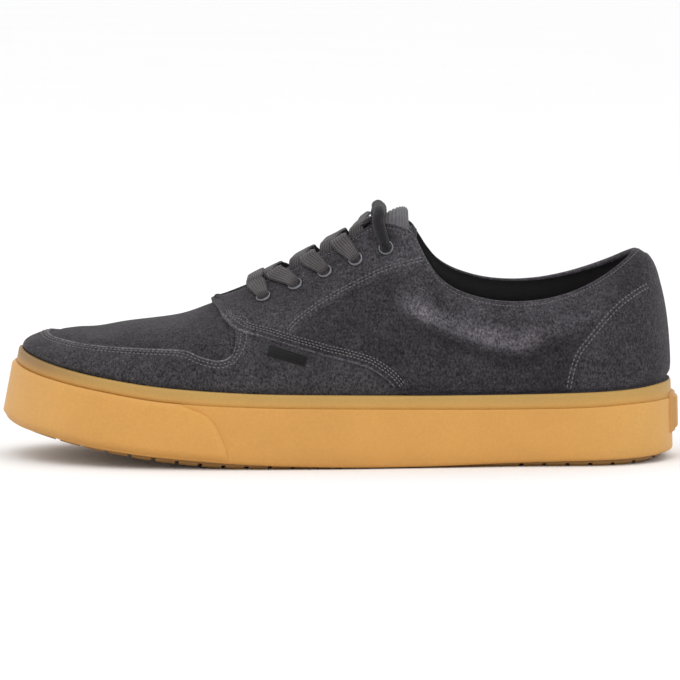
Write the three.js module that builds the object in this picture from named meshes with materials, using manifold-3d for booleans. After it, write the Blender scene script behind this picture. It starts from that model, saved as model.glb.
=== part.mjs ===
// A low skateboarding shoe for the left foot: suede upper on a gum rubber sole with a foxing tape.
// Millimetres, +Z up. The toe points to -X and the outer (lateral) side of the foot faces -Y.
// The origin is on the floor under the middle of the sole.
//
// One loop runs round the shoe. A place on it is a turn in degrees, 0 at the toe tip and 180 at the
// heel, and a side, -1 for the outer and +1 for the inner side of the foot. All forms are worked out
// from the sole's outline on that loop and from the sections of the last in the tables below.

import * as THREE from 'three';
import { mergeVertices } from 'three/addons/utils/BufferGeometryUtils.js';
import Module from 'manifold-3d';

const wasm = await Module();
wasm.setup();

// Driving dimensions
const OUTER = -1;
const INNER = 1;
const SIDES = [OUTER, INNER];
const FIT_GAP = 0.3; // between pieces that meet on curved faces
const SOLE_FRONT = -147.7; // front of the foxing at the toe
const SOLE_BACK = 146.5; // back of the foxing at the heel
const TOE_ROUND = 70; // length of the rounded toe end of the outline
const HEEL_ROUND = 42;
const TOE_POWER = 2.15; // 2 is an ellipse, more is squarer
const HEEL_POWER = 2.2;

const FOXING_THICK = 3;
const FOXING_EDGE = 1.6; // rounding of the foxing's lower edge
const BAND_STEP = 0.9; // the thin band stands this far behind the foxing's face
const BAND_THICK = 1.5;
const BUMPER_THICK = 1.2;
const PATCH_THICK = 2.4;
const SPRING_START = -40; // the sole is flat behind this place and rises to the toe before it
const SPRING_TOE = 15.6; // height of the outsole's underside at the toe
const SPRING_POWER = 1.6;
const HEEL_BEVEL_START = 116;
const HEEL_BEVEL = 2.6;
const TREAD_DEEP = 1.3;
const TREAD_WIDE = 1.8;
const INSOLE_THICK = 4.5;

const LINING = 1.4; // wall inside the toe panel's face
const TAG_THICK = 0.9;
const GUARD_STEP = 0.9; // the guard round the toe lies on the toe panel
const QUARTER_STEP = 1.8; // the quarters lie on the guard
const TUCK = 0.12; // share of a section's height in which the overlays thin out towards the sole

const EYELET = { hole: 2.1, barrel: 2.5, flange: 3.5, thick: 0.7 };
const LACE = { wide: 7.4, thick: 1.3 };
const LACE_STOP = 3; // the upper crossings end this far inside the throat's edges
const LACE_EARLY = 0.85; // and this share of a section before the top eyelets
const TOP_CORD = 5.4; // diameter of the lace's rolled top run

// The sole's outline and side, by turn: centre line, half breadth, the lower and upper edge of the
// foxing, the top of the band over it, how far the side leans inwards at the top, and the floor inside.
const SOLE = [
  { turn: 0, centre: 6.0, breadth: 50.0, foxingLow: 17.6, foxingTop: 42.6, bandTop: 48.4, lean: 6.0, floor: 27.0 },
  { turn: 10, centre: 5.9, breadth: 50.0, foxingLow: 16.4, foxingTop: 41.2, bandTop: 47.2, lean: 5.6, floor: 26.0 },
  { turn: 20, centre: 5.5, breadth: 50.2, foxingLow: 14.4, foxingTop: 39.3, bandTop: 45.4, lean: 4.8, floor: 23.6 },
  { turn: 30, centre: 4.7, breadth: 50.5, foxingLow: 12.4, foxingTop: 37.0, bandTop: 42.9, lean: 3.8, floor: 21.0 },
  { turn: 45, centre: 2.9, breadth: 51.8, foxingLow: 8.1, foxingTop: 33.0, bandTop: 38.7, lean: 2.6, floor: 16.6 },
  { turn: 60, centre: 0.5, breadth: 53.2, foxingLow: 4.7, foxingTop: 28.8, bandTop: 34.9, lean: 1.8, floor: 13.2 },
  { turn: 75, centre: -1.6, breadth: 52.6, foxingLow: 2.1, foxingTop: 26.9, bandTop: 32.7, lean: 1.4, floor: 12.0 },
  { turn: 90, centre: -3.9, breadth: 48.1, foxingLow: 0.8, foxingTop: 26.1, bandTop: 31.9, lean: 1.2, floor: 12.6 },
  { turn: 105, centre: -4.5, breadth: 42.9, foxingLow: 0.7, foxingTop: 25.5, bandTop: 31.4, lean: 1.1, floor: 14.2 },
  { turn: 120, centre: -3.0, breadth: 40.3, foxingLow: 1.7, foxingTop: 25.1, bandTop: 31.4, lean: 1.0, floor: 15.6 },
  { turn: 135, centre: -1.7, breadth: 40.0, foxingLow: 2.4, foxingTop: 25.5, bandTop: 32.0, lean: 0.9, floor: 16.4 },
  { turn: 150, centre: -0.8, breadth: 40.0, foxingLow: 2.8, foxingTop: 26.6, bandTop: 33.0, lean: 0.8, floor: 16.8 },
  { turn: 165, centre: -0.5, breadth: 40.0, foxingLow: 3.5, foxingTop: 27.1, bandTop: 34.4, lean: 0.8, floor: 17.0 },
  { turn: 180, centre: -0.5, breadth: 40.0, foxingLow: 3.7, foxingTop: 27.0, bandTop: 35.0, lean: 0.8, floor: 17.0 },
];

// Sections of the upper from toe to heel. Each runs from its foot on the sole, at this turn, to its
// top at x, half (the distance from the spine) and z. The top is the ridge of the toe box, then the
// throat's edge and then the collar's edge, which is higher by rise on the inner side. The curve
// leaves the foot upwards for low of its height, swelling out by swell, and reaches the top from
// high of its width outside and drop of its height below. The instep under the laces arches this
// far above the throat's edges.
const SECTIONS = [
  { turn: 0, x: -118, half: 0, z: 56.3, rise: 0, low: 0.45, swell: 0, high: 0.55, drop: 0, arch: 0 },
  { turn: 12, x: -116.5, half: 0, z: 56.5, rise: 0, low: 0.46, swell: 0.3, high: 0.56, drop: 0, arch: 0 },
  { turn: 24, x: -112, half: 0, z: 56.9, rise: 0, low: 0.5, swell: 0.6, high: 0.56, drop: 0, arch: 0 },
  { turn: 35, x: -104.5, half: 0, z: 57.5, rise: 0, low: 0.54, swell: 0.9, high: 0.56, drop: 0, arch: 0 },
  { turn: 45.5, x: -94, half: 0, z: 59.1, rise: 0, low: 0.58, swell: 1, high: 0.56, drop: 0, arch: 0 },
  { turn: 55, x: -81.5, half: 0, z: 60.9, rise: 0, low: 0.6, swell: 1, high: 0.55, drop: 0, arch: 0 },
  { turn: 63, x: -68.5, half: 0, z: 63.2, rise: 0, low: 0.6, swell: 1, high: 0.52, drop: 0, arch: 0 },
  { turn: 69, x: -58, half: 0, z: 66.8, rise: 0, low: 0.58, swell: 1, high: 0.48, drop: 0, arch: 0 },
  { turn: 72, x: -53.5, half: 0, z: 68.9, rise: 0, low: 0.56, swell: 1, high: 0.45, drop: 0.02, arch: 0 },
  { turn: 74.5, x: -49.5, half: 4.2, z: 69.8, rise: 0, low: 0.55, swell: 1, high: 0.42, drop: 0.06, arch: 1.5 },
  { turn: 78.5, x: -41, half: 7.2, z: 73, rise: 0, low: 0.54, swell: 1, high: 0.4, drop: 0.1, arch: 3 },
  { turn: 83.5, x: -29.5, half: 10, z: 78, rise: 0, low: 0.52, swell: 1, high: 0.38, drop: 0.14, arch: 4 },
  { turn: 88.5, x: -17, half: 12.6, z: 83.6, rise: 0, low: 0.5, swell: 1, high: 0.36, drop: 0.17, arch: 4.6 },
  { turn: 93, x: -5, half: 14.6, z: 90, rise: 0, low: 0.48, swell: 0.8, high: 0.34, drop: 0.19, arch: 4.6 },
  { turn: 97, x: 5.5, half: 16.2, z: 96.2, rise: 0, low: 0.46, swell: 0.6, high: 0.32, drop: 0.2, arch: 3.6 },
  { turn: 100, x: 13.6, half: 17.8, z: 101.8, rise: 0, low: 0.44, swell: 0.5, high: 0.3, drop: 0.22, arch: 3.4 },
  { turn: 102.2, x: 19.6, half: 19.8, z: 103, rise: 0.2, low: 0.43, swell: 0.4, high: 0.26, drop: 0.23, arch: 5.6 },
  { turn: 104.2, x: 26.2, half: 22, z: 102, rise: 0.5, low: 0.42, swell: 0.3, high: 0.22, drop: 0.24, arch: 9.2 },
  { turn: 106, x: 31.4, half: 23.9, z: 99.6, rise: 1.2, low: 0.42, swell: 0.2, high: 0.2, drop: 0.25, arch: 10 },
  { turn: 107.8, x: 34.9, half: 25.3, z: 93.4, rise: 2.2, low: 0.42, swell: 0.1, high: 0.2, drop: 0.26, arch: 10 },
  { turn: 109.6, x: 38.6, half: 26.8, z: 86.6, rise: 3.2, low: 0.42, swell: 0, high: 0.2, drop: 0.27, arch: 10 },
  { turn: 111.8, x: 43.6, half: 28.5, z: 80, rise: 4.2, low: 0.42, swell: 0, high: 0.22, drop: 0.27, arch: 0 },
  { turn: 115, x: 51.6, half: 30.4, z: 74.8, rise: 4.7, low: 0.42, swell: 0.2, high: 0.25, drop: 0.26, arch: 0 },
  { turn: 120, x: 63.5, half: 31.8, z: 71.2, rise: 4.7, low: 0.42, swell: 0.4, high: 0.3, drop: 0.25, arch: 0 },
  { turn: 125.5, x: 76, half: 32, z: 70, rise: 4.7, low: 0.42, swell: 0.5, high: 0.34, drop: 0.24, arch: 0 },
  { turn: 131.5, x: 88.5, half: 30.9, z: 70.9, rise: 4.6, low: 0.42, swell: 0.6, high: 0.38, drop: 0.22, arch: 0 },
  { turn: 138, x: 100, half: 28.3, z: 73.6, rise: 4.2, low: 0.42, swell: 0.6, high: 0.44, drop: 0.19, arch: 0 },
  { turn: 145.5, x: 110.5, half: 24.2, z: 77.9, rise: 3.2, low: 0.43, swell: 0.5, high: 0.5, drop: 0.16, arch: 0 },
  { turn: 154, x: 119.3, half: 18.4, z: 82.9, rise: 1.8, low: 0.44, swell: 0.3, high: 0.58, drop: 0.12, arch: 0 },
  { turn: 163, x: 125.6, half: 11.2, z: 87.3, rise: 0.7, low: 0.45, swell: 0.1, high: 0.66, drop: 0.09, arch: 0 },
  { turn: 171.5, x: 128.7, half: 4.8, z: 89.6, rise: 0.1, low: 0.45, swell: 0, high: 0.7, drop: 0.07, arch: 0 },
  { turn: 180, x: 129.6, half: 0, z: 90.1, rise: 0, low: 0.45, swell: 0, high: 0.72, drop: 0.07, arch: 0 },
];
const LAST_SECTION = SECTIONS.length - 1;
const THROAT_SECTION = 8; // the opening starts here

// The spine that the halves are measured from.
const SPINE = [
  { x: -140, y: 5.6 },
  { x: -118, y: 4.4 },
  { x: -90, y: 2.8 },
  { x: -60, y: 1.2 },
  { x: -30, y: 0.2 },
  { x: 0, y: 0 },
  { x: 140, y: 0 },
];

// The panels on a section: the guard reaches up from the sole to the place v = guard, the quarter
// reaches down from the top to v = quarter, and the toe panel shows between them. Behind the guard's
// lobe the quarter lies right on the guard.
const PANELS = [
  { u: 0, guard: 0.69, quarter: 1 },
  { u: 1, guard: 0.64, quarter: 1 },
  { u: 2, guard: 0.53, quarter: 1 },
  { u: 3, guard: 0.462, quarter: 1 },
  { u: 4, guard: 0.408, quarter: 1 },
  { u: 5, guard: 0.381, quarter: 1 },
  { u: 6, guard: 0.35, quarter: 1 },
  { u: 6.5, guard: 0.276, quarter: 1 },
  { u: 7, guard: 0.238, quarter: 1 },
  { u: 7.25, guard: 0.238, quarter: 1 },
  { u: 7.5, guard: 0.242, quarter: 0.8 },
  { u: 7.75, guard: 0.255, quarter: 0.63 },
  { u: 8, guard: 0.275, quarter: 0.6 },
  { u: 8.25, guard: 0.32, quarter: 0.565 },
  { u: 8.5, guard: 0.39, quarter: 0.535 },
  { u: 8.75, guard: 0.508, quarter: 0.508 },
  { u: 9, guard: 0.488, quarter: 0.488 },
  { u: 10, guard: 0.404, quarter: 0.404 },
  { u: 11, guard: 0.302, quarter: 0.302 },
  { u: 12, guard: 0.222, quarter: 0.222 },
  { u: 13.5, guard: 0.142, quarter: 0.142 },
  { u: 14.5, guard: 0.066, quarter: 0.066 },
  { u: 15, guard: 0.02, quarter: 0.02 },
  { u: 31, guard: 0.02, quarter: 0.02 },
];
const LOBE_END = 8.75;

// Middle of each eyelet on the outer side.
const EYELETS = [
  { x: -32.5, z: 70.3 },
  { x: -18.7, z: 75.9 },
  { x: -5.7, z: 81.8 },
  { x: 7.6, z: 87.5 },
  { x: 20.4, z: 92.8 },
];

// The curved rear end of the toe bumper, from its top edge down.
const BUMPER_END = [
  { x: -70, z: 29 },
  { x: -66, z: 27 },
  { x: -61.6, z: 25.6 },
  { x: -57.2, z: 23.6 },
  { x: -54, z: 20.4 },
  { x: -51.4, z: 15.2 },
  { x: -49, z: 9.4 },
  { x: -47, z: 0 },
];

const HEEL_PATCH = { half: 14, low: 11.8, top: 29.4, corner: 2 };
const SIDE_TAG = [
  { x: -30.6, z: 52.6 },
  { x: -13.6, z: 47.8 },
  { x: -15.2, z: 43.4 },
  { x: -31.6, z: 48.2 },
];

// The value of a column at a place in a table, on a smooth curve through the rows.
function smooth(rows, key, column, place) {
  let i = 0;
  while (i < rows.length - 2 && place > rows[i + 1][key]) i++;
  const from = rows[i];
  const to = rows[i + 1];
  const span = to[key] - from[key];
  const slope = (a, b) => (b[column] - a[column]) / (b[key] - a[key]);
  const start = slope(rows[Math.max(i - 1, 0)], to) * span;
  const end = slope(from, rows[Math.min(i + 2, rows.length - 1)]) * span;
  const t = Math.min(Math.max((place - from[key]) / span, 0), 1);
  const rise = to[column] - from[column];
  return from[column] + t * (start + t * (3 * rise - 2 * start - end + t * (start + end - 2 * rise)));
}

const radians = THREE.MathUtils.degToRad;
const soleAt = (turn, column) => smooth(SOLE, 'turn', column, turn);

// Share of the full breadth that is left near a rounded end of the outline.
function rounding(distance, length, power) {
  if (distance >= length) return 1;
  return Math.pow(1 - Math.pow(1 - Math.max(distance, 0) / length, power), 1 / power);
}

function outline(turn, side) {
  const middle = (SOLE_FRONT + SOLE_BACK) / 2;
  const x = middle - ((SOLE_BACK - SOLE_FRONT) / 2) * Math.cos(radians(turn));
  const ends =
    rounding(x - SOLE_FRONT, TOE_ROUND, TOE_POWER) * rounding(SOLE_BACK - x, HEEL_ROUND, HEEL_POWER);
  return new THREE.Vector2(x, soleAt(turn, 'centre') + side * soleAt(turn, 'breadth') * ends);
}

// The outline moved inwards, square to itself.
function rim(turn, side, inset) {
  const step = 0.4;
  const at = Math.min(Math.max(turn, step), 180 - step);
  const along = outline(at + step, side).sub(outline(at - step, side));
  if (turn < step || turn > 180 - step) along.set(0, turn < step ? side : -side);
  const inwards = new THREE.Vector2(along.y, -along.x).normalize().multiplyScalar(side);
  return outline(turn, side).addScaledVector(inwards, inset);
}

const ground = (x) => {
  const toe = Math.max(SPRING_START - x, 0) / (SPRING_START - SOLE_FRONT);
  const heel = Math.max(x - HEEL_BEVEL_START, 0) / (SOLE_BACK - HEEL_BEVEL_START);
  return SPRING_TOE * Math.pow(toe, SPRING_POWER) + HEEL_BEVEL * heel * heel;
};

// How far the sole's side stands inside the outline at a height, because it leans.
function sideLean(turn, z) {
  const low = soleAt(turn, 'foxingLow');
  const level = Math.max((z - low) / (soleAt(turn, 'bandTop') - low), 0);
  return soleAt(turn, 'lean') * level;
}

function sectionAt(u) {
  const place = Math.min(Math.max(u, 0), LAST_SECTION);
  const i = Math.min(Math.floor(place), LAST_SECTION - 1);
  const around = [i - 1, i, i + 1, i + 2].map((k) => SECTIONS[Math.min(Math.max(k, 0), LAST_SECTION)]);
  const t = place - i;
  const made = {};
  for (const column of Object.keys(SECTIONS[0])) {
    const [a, b, c, d] = around.map((row) => row[column]);
    const start = (c - a) / 2;
    const end = (d - b) / 2;
    made[column] = b + t * (start + t * (3 * (c - b) - 2 * start - end + t * (start + end - 2 * (c - b))));
  }
  if (place <= THROAT_SECTION) made.half = 0;
  return made;
}

function topPoint(u, side) {
  const s = sectionAt(u);
  const rise = side === INNER ? s.rise : 0;
  return new THREE.Vector3(s.x, smooth(SPINE, 'x', 'y', s.x) + side * Math.max(s.half, 0), s.z + rise);
}

// The upper's face, without its overlays: a section's curve at v from 0 at the sole to 1 at the top.
function upperPoint(u, v, side) {
  const s = sectionAt(u);
  const foot2 = rim(s.turn, side, soleAt(s.turn, 'lean') + BAND_STEP + BAND_THICK + FIT_GAP);
  const foot = new THREE.Vector3(foot2.x, foot2.y, soleAt(s.turn, 'bandTop'));
  const top = topPoint(u, side);
  const height = top.z - foot.z;
  const out = new THREE.Vector3(foot.x - top.x, foot.y - top.y, 0);
  const width = out.length();
  out.normalize();
  const low = foot.clone().addScaledVector(out, s.swell);
  low.z += s.low * height;
  const high = top.clone().addScaledVector(out, s.high * width);
  high.z -= s.drop * height;
  if (u < THROAT_SECTION) {
    const step = 0.05;
    const ahead = topPoint(u + step, side);
    const behind = topPoint(Math.max(u - step, 0), side);
    high.z += ((high.x - top.x) * (ahead.z - behind.z)) / (ahead.x - behind.x);
  }
  return new THREE.CubicBezierCurve3(foot, low, high, top).getPoint(v);
}

function upperNormal(u, v, side) {
  const step = 0.02;
  const near = (a, b) => upperPoint(a, Math.min(Math.max(b, 0), 1), side);
  const along = near(Math.min(u + step, LAST_SECTION), v).sub(near(Math.max(u - step, 0), v));
  const up = near(u, v + step).sub(near(u, v - step));
  if (u < step || u > LAST_SECTION - step) along.set(0, u < step ? side : -side, 0);
  const normal = along.cross(up).multiplyScalar(-side).normalize();
  if (u <= THROAT_SECTION && v >= 1) {
    const ridge = topPoint(u + step, side).sub(topPoint(Math.max(u - step, 0), side));
    normal.set(-ridge.z, 0, ridge.x).normalize();
  }
  if (u < step || u > LAST_SECTION - step) normal.setY(0).normalize();
  return normal;
}

function offsetPoint(u, v, side, offset) {
  return upperPoint(u, v, side).addScaledVector(upperNormal(u, v, side), offset);
}

// The place on a side of the upper that lies at x and z when seen from the side.
function placeOnSide(x, z, side) {
  let u = SECTIONS.findIndex((s, i) => i > THROAT_SECTION && s.x > x) - 0.5;
  let v = 0.8;
  const step = 0.01;
  for (let k = 0; k < 12; k++) {
    const p = upperPoint(u, v, side);
    const du = upperPoint(u + step, v, side).sub(p).divideScalar(step);
    const dv = upperPoint(u, v - step, side).sub(p).divideScalar(-step);
    const det = du.x * dv.z - dv.x * du.z;
    u += ((x - p.x) * dv.z - dv.x * (z - p.z)) / det;
    v += (du.x * (z - p.z) - (x - p.x) * du.z) / det;
    v = Math.min(Math.max(v, 0.02), 0.99);
  }
  return { u, v };
}

// Meshes and solids
function toSolid(points, triangles) {
  const geometry = new THREE.BufferGeometry();
  geometry.setAttribute('position', new THREE.Float32BufferAttribute(points.flatMap((p) => p.toArray()), 3));
  geometry.setIndex(triangles.flat());
  return solidFrom(geometry);
}

function solidFrom(geometry) {
  const plain = new THREE.BufferGeometry();
  plain.setAttribute('position', geometry.getAttribute('position'));
  plain.setIndex(geometry.index);
  const merged = mergeVertices(plain, 1e-3);
  const index = [];
  for (let i = 0; i < merged.index.count; i += 3) {
    const [a, b, c] = [0, 1, 2].map((k) => merged.index.getX(i + k));
    if (a !== b && b !== c && c !== a) index.push(a, b, c);
  }
  return new wasm.Manifold(
    new wasm.Mesh({
      numProp: 3,
      vertProperties: merged.attributes.position.array,
      triVerts: new Uint32Array(index),
    })
  );
}

function toGeometry(solid) {
  const mesh = solid.getMesh();
  const geometry = new THREE.BufferGeometry();
  geometry.setAttribute('position', new THREE.BufferAttribute(mesh.vertProperties, 3));
  geometry.setIndex(new THREE.BufferAttribute(mesh.triVerts, 1));
  const flat = geometry.toNonIndexed();
  flat.computeVertexNormals();
  return flat;
}

// A solid between closed loops of points, all with the same count. The loops run from the solid's
// underside outwards and up. The ends are closed across the loop, or joined to each other.
function loft(loops, joined) {
  const count = loops[0].length;
  const triangles = [];
  const at = (j, k) => (j % loops.length) * count + (((k % count) + count) % count);
  const bands = joined ? loops.length : loops.length - 1;
  for (let j = 0; j < bands; j++) {
    for (let k = 0; k < count; k++) {
      triangles.push([at(j, k), at(j, k + 1), at(j + 1, k + 1)], [at(j, k), at(j + 1, k + 1), at(j + 1, k)]);
    }
  }
  if (!joined) {
    const last = loops.length - 1;
    for (let k = 0; k < count / 2; k++) {
      triangles.push([at(0, k), at(0, -k), at(0, -k - 1)], [at(0, k), at(0, -k - 1), at(0, k + 1)]);
      triangles.push([at(last, k), at(last, -k - 1), at(last, -k)]);
      triangles.push([at(last, k), at(last, k + 1), at(last, -k - 1)]);
    }
  }
  return toSolid(loops.flat(), triangles);
}

// A closed loop round the sole, from the toe along the outer side to the heel and back.
function loopRound(steps, pointAt) {
  const loop = [];
  for (let k = 0; k < 2 * steps; k++) {
    const side = k < steps ? OUTER : INNER;
    const turn = (180 * (k <= steps ? k : 2 * steps - k)) / steps;
    loop.push(pointAt(turn, side));
  }
  return loop;
}

// A loop of the sole's side at a height, inset from the side's face.
function sideLoop(steps, heightAt, inset) {
  return loopRound(steps, (turn, side) => {
    const z = heightAt(turn, side);
    const p = rim(turn, side, sideLean(turn, z) + inset);
    return new THREE.Vector3(p.x, p.y, z);
  });
}

// A prism along Y through an outline that is given as seen from the side.
function sidePrism(rows, fromY, toY) {
  const shape = new THREE.Shape(rows.map((row) => new THREE.Vector2(row.x, row.z)));
  const geometry = new THREE.ExtrudeGeometry(shape, { depth: toY - fromY, bevelEnabled: false });
  geometry.rotateX(Math.PI / 2);
  geometry.translate(0, toY, 0);
  return solidFrom(mergeVertices(withoutExtras(geometry), 1e-3));
}

function withoutExtras(geometry) {
  geometry.deleteAttribute('normal');
  geometry.deleteAttribute('uv');
  return geometry;
}

// Sole
const SOLE_STEPS = 40;
const foxingLow = (turn) => soleAt(turn, 'foxingLow');
const foxingTop = (turn) => soleAt(turn, 'foxingTop');
const bandTop = (turn) => soleAt(turn, 'bandTop');
const floorTop = (turn) => soleAt(turn, 'floor');

function makeOutsole() {
  const inset = FOXING_THICK + FIT_GAP;
  const bottom = (turn, side) => ground(rim(turn, side, inset).x);
  const slab = loft(
    [
      sideLoop(SOLE_STEPS, bottom, inset + 1.5),
      sideLoop(SOLE_STEPS, (turn, side) => bottom(turn, side) + 1, inset),
      sideLoop(SOLE_STEPS, floorTop, inset),
    ],
    false
  );
  const grooves = [];
  const pitch = 10;
  for (let x = -126; x < 136; x += pitch) {
    const waist = x > 0 && x < 70;
    if (!waist) grooves.push(chevronGroove(x));
  }
  return slab.subtract(wasm.Manifold.union(grooves));
}

// A shallow groove across the tread, bent in the middle.
function chevronGroove(x) {
  const reach = 60;
  const bend = 7;
  const half = TREAD_WIDE / 2;
  const shape = new THREE.Shape([
    new THREE.Vector2(x - half, 0),
    new THREE.Vector2(x + bend - half, -reach),
    new THREE.Vector2(x + bend + half, -reach),
    new THREE.Vector2(x + half, 0),
    new THREE.Vector2(x + bend + half, reach),
    new THREE.Vector2(x + bend - half, reach),
  ]);
  const depth = 10;
  const geometry = new THREE.ExtrudeGeometry(shape, { depth, bevelEnabled: false });
  geometry.translate(0, 0, ground(x + bend / 2) + TREAD_DEEP - depth);
  return solidFrom(withoutExtras(geometry));
}

function makeFoxing() {
  const round = FOXING_EDGE;
  const at = (share, lift) => (turn) => foxingLow(turn) + share * (foxingTop(turn) - foxingLow(turn)) + lift;
  return loft(
    [
      sideLoop(SOLE_STEPS, at(1, 0), FOXING_THICK),
      sideLoop(SOLE_STEPS, at(0, 0), FOXING_THICK),
      sideLoop(SOLE_STEPS, at(0, 0), round),
      sideLoop(SOLE_STEPS, at(0, round * 0.3), round * 0.3),
      sideLoop(SOLE_STEPS, at(0, round), 0),
      sideLoop(SOLE_STEPS, at(0.5, 0), 0),
      sideLoop(SOLE_STEPS, at(1, -0.7), 0),
      sideLoop(SOLE_STEPS, at(1, 0), 0.7),
    ],
    true
  );
}

function makeBand() {
  const low = (turn) => foxingTop(turn) + FIT_GAP;
  const back = BAND_STEP + BAND_THICK;
  return loft(
    [
      sideLoop(SOLE_STEPS, bandTop, back),
      sideLoop(SOLE_STEPS, low, back),
      sideLoop(SOLE_STEPS, low, BAND_STEP),
      sideLoop(SOLE_STEPS, (turn) => bandTop(turn) - 0.6, BAND_STEP),
      sideLoop(SOLE_STEPS, bandTop, BAND_STEP + 0.6),
    ],
    true
  );
}

// The bumper is a second tape round the toe, on the foxing. Its rear ends are cut to a curve.
function makeBumper() {
  const face = -(FIT_GAP + BUMPER_THICK);
  const round = 0.6;
  const ring = loft(
    [
      sideLoop(SOLE_STEPS, foxingTop, -FIT_GAP),
      sideLoop(SOLE_STEPS, (turn) => foxingLow(turn) + FOXING_EDGE, -FIT_GAP),
      sideLoop(SOLE_STEPS, (turn) => foxingLow(turn) + FOXING_EDGE, face + round),
      sideLoop(SOLE_STEPS, (turn) => foxingLow(turn) + FOXING_EDGE + round, face),
      sideLoop(SOLE_STEPS, (turn) => foxingTop(turn) - round, face),
      sideLoop(SOLE_STEPS, foxingTop, face + round),
    ],
    true
  );
  const front = -170;
  const cut = [{ x: front, z: 60 }, { x: -74, z: 60 }, ...BUMPER_END, { x: front, z: 0 }];
  return ring.intersect(sidePrism(cut, -80, 80));
}

function makePatch() {
  const steps = 8;
  const { half, low, top, corner } = HEEL_PATCH;
  // A rounded plate wrapped on the heel: rows of points from its rim to its face.
  const row = (z, inset, reach) => {
    const points = [];
    for (let k = 0; k <= steps; k++) {
      const y = reach * ((2 * k) / steps - 1);
      const side = y < 0 ? OUTER : INNER;
      points.push(pointOnHeel(Math.abs(y), side, z, inset));
    }
    return points;
  };
  const rings = [
    [row(low, -FIT_GAP, half), row(top, -FIT_GAP, half)],
    [row(low, -FIT_GAP - 1.2, half), row(top, -FIT_GAP - 1.2, half)],
    [row(low + corner, -FIT_GAP - PATCH_THICK, half - corner), row(top - corner, -FIT_GAP - PATCH_THICK, half - corner)],
  ];
  const loops = rings.map(([lower, upper]) => [...lower, ...upper.reverse()]);
  return strapLoft(loops);
}

// The point on the heel's side at a distance from the middle, found along the outline.
function pointOnHeel(across, side, z, inset) {
  let low = 120;
  let high = 180;
  for (let k = 0; k < 30; k++) {
    const turn = (low + high) / 2;
    if (Math.abs(rim(turn, side, inset).y - soleAt(180, 'centre')) > across) low = turn;
    else high = turn;
  }
  const p = rim(across < 1e-6 ? 180 : high, side, sideLean(high, z) + inset);
  return new THREE.Vector3(p.x, p.y, z);
}

// A plate between loops whose first half is its lower row and whose second half is its upper row.
function strapLoft(loops) {
  const count = loops[0].length;
  const half = count / 2;
  const triangles = [];
  const at = (j, k) => j * count + ((k + count) % count);
  for (let j = 0; j < loops.length - 1; j++) {
    for (let k = 0; k < count; k++) {
      triangles.push([at(j, k), at(j, k + 1), at(j + 1, k + 1)], [at(j, k), at(j + 1, k + 1), at(j + 1, k)]);
    }
  }
  const last = loops.length - 1;
  for (let k = 0; k < half - 1; k++) {
    triangles.push([at(0, k), at(0, -k - 1), at(0, -k - 2)], [at(0, k), at(0, -k - 2), at(0, k + 1)]);
    triangles.push([at(last, k), at(last, -k - 2), at(last, -k - 1)]);
    triangles.push([at(last, k), at(last, k + 1), at(last, -k - 2)]);
  }
  return toSolid(loops.flat(), triangles);
}

function makeInsole() {
  const inset = FOXING_THICK + FIT_GAP + LINING + 0.6;
  const low = (turn) => floorTop(turn) + FIT_GAP;
  const top = (turn) => floorTop(turn) + FIT_GAP + INSOLE_THICK;
  return loft(
    [
      sideLoop(SOLE_STEPS, low, inset),
      sideLoop(SOLE_STEPS, top, inset),
      sideLoop(SOLE_STEPS, (turn) => top(turn) - 1, inset + 2.5),
      sideLoop(SOLE_STEPS, (turn) => top(turn) - 1.6, inset + 8),
    ],
    false
  );
}

// Upper
const GUARD_ROWS = 4;
const TOE_ROWS = 5;
const QUARTER_ROWS = 7;
const INNER_ROWS = 10;
const overlay = (v) => Math.min(v / TUCK, 1);

// Columns of points round the upper, closer together where the panels meet.
function columnsRound() {
  const places = [];
  for (let u = 0; u < LAST_SECTION; u += u >= 6.5 && u < 9.5 ? 0.25 : 0.5) places.push(u);
  const outer = places.map((u) => ({ u, side: OUTER }));
  const inner = [...places.slice(1), LAST_SECTION].map((u) => ({ u, side: INNER }));
  return [...outer, ...inner.reverse()];
}

function panelEdges(u) {
  const i = PANELS.findIndex((row, k) => k === PANELS.length - 2 || u < PANELS[k + 1].u);
  const t = (u - PANELS[i].u) / (PANELS[i + 1].u - PANELS[i].u);
  const between = (column) => THREE.MathUtils.lerp(PANELS[i][column], PANELS[i + 1][column], t);
  return { guard: between('guard'), quarter: between('quarter') };
}

// The places and offsets of the outer face's points up a section.
function outerRows(u) {
  const { guard, quarter } = panelEdges(u);
  const toeLift = u < LOBE_END ? 0 : GUARD_STEP;
  const rows = [];
  const add = (from, to, count, lift) => {
    for (let j = 0; j <= count; j++) {
      const v = THREE.MathUtils.lerp(from, to, j / count);
      rows.push({ v, offset: lift * overlay(v) });
    }
  };
  add(0, guard, GUARD_ROWS, GUARD_STEP);
  add(guard, quarter, TOE_ROWS, toeLift);
  add(quarter, 1, QUARTER_ROWS, quarter < 1 ? QUARTER_STEP : 0);
  return rows;
}

function innerRows() {
  return Array.from({ length: INNER_ROWS + 1 }, (_, j) => ({ v: j / INNER_ROWS, offset: -LINING }));
}

// A row of the skirt, which goes on below the band and down inside the foxing to the outsole.
function skirtRow(columns, heightAt, inset) {
  return columns.map(({ u, side }) => {
    const turn = sectionAt(u).turn;
    const z = heightAt(turn);
    const p = rim(turn, side, sideLean(turn, z) + inset);
    return new THREE.Vector3(p.x, p.y, z);
  });
}

function upperFace(columns, rowsAt, skirtInset) {
  const rows = [
    skirtRow(columns, (turn) => floorTop(turn) + FIT_GAP, skirtInset),
    skirtRow(columns, (turn) => foxingTop(turn) + 1.4, skirtInset),
  ];
  const places = columns.map(({ u }) => rowsAt(u));
  for (let j = 0; j < places[0].length; j++) {
    rows.push(columns.map(({ u, side }, k) => offsetPoint(u, places[k][j].v, side, places[k][j].offset)));
  }
  return rows;
}

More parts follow.
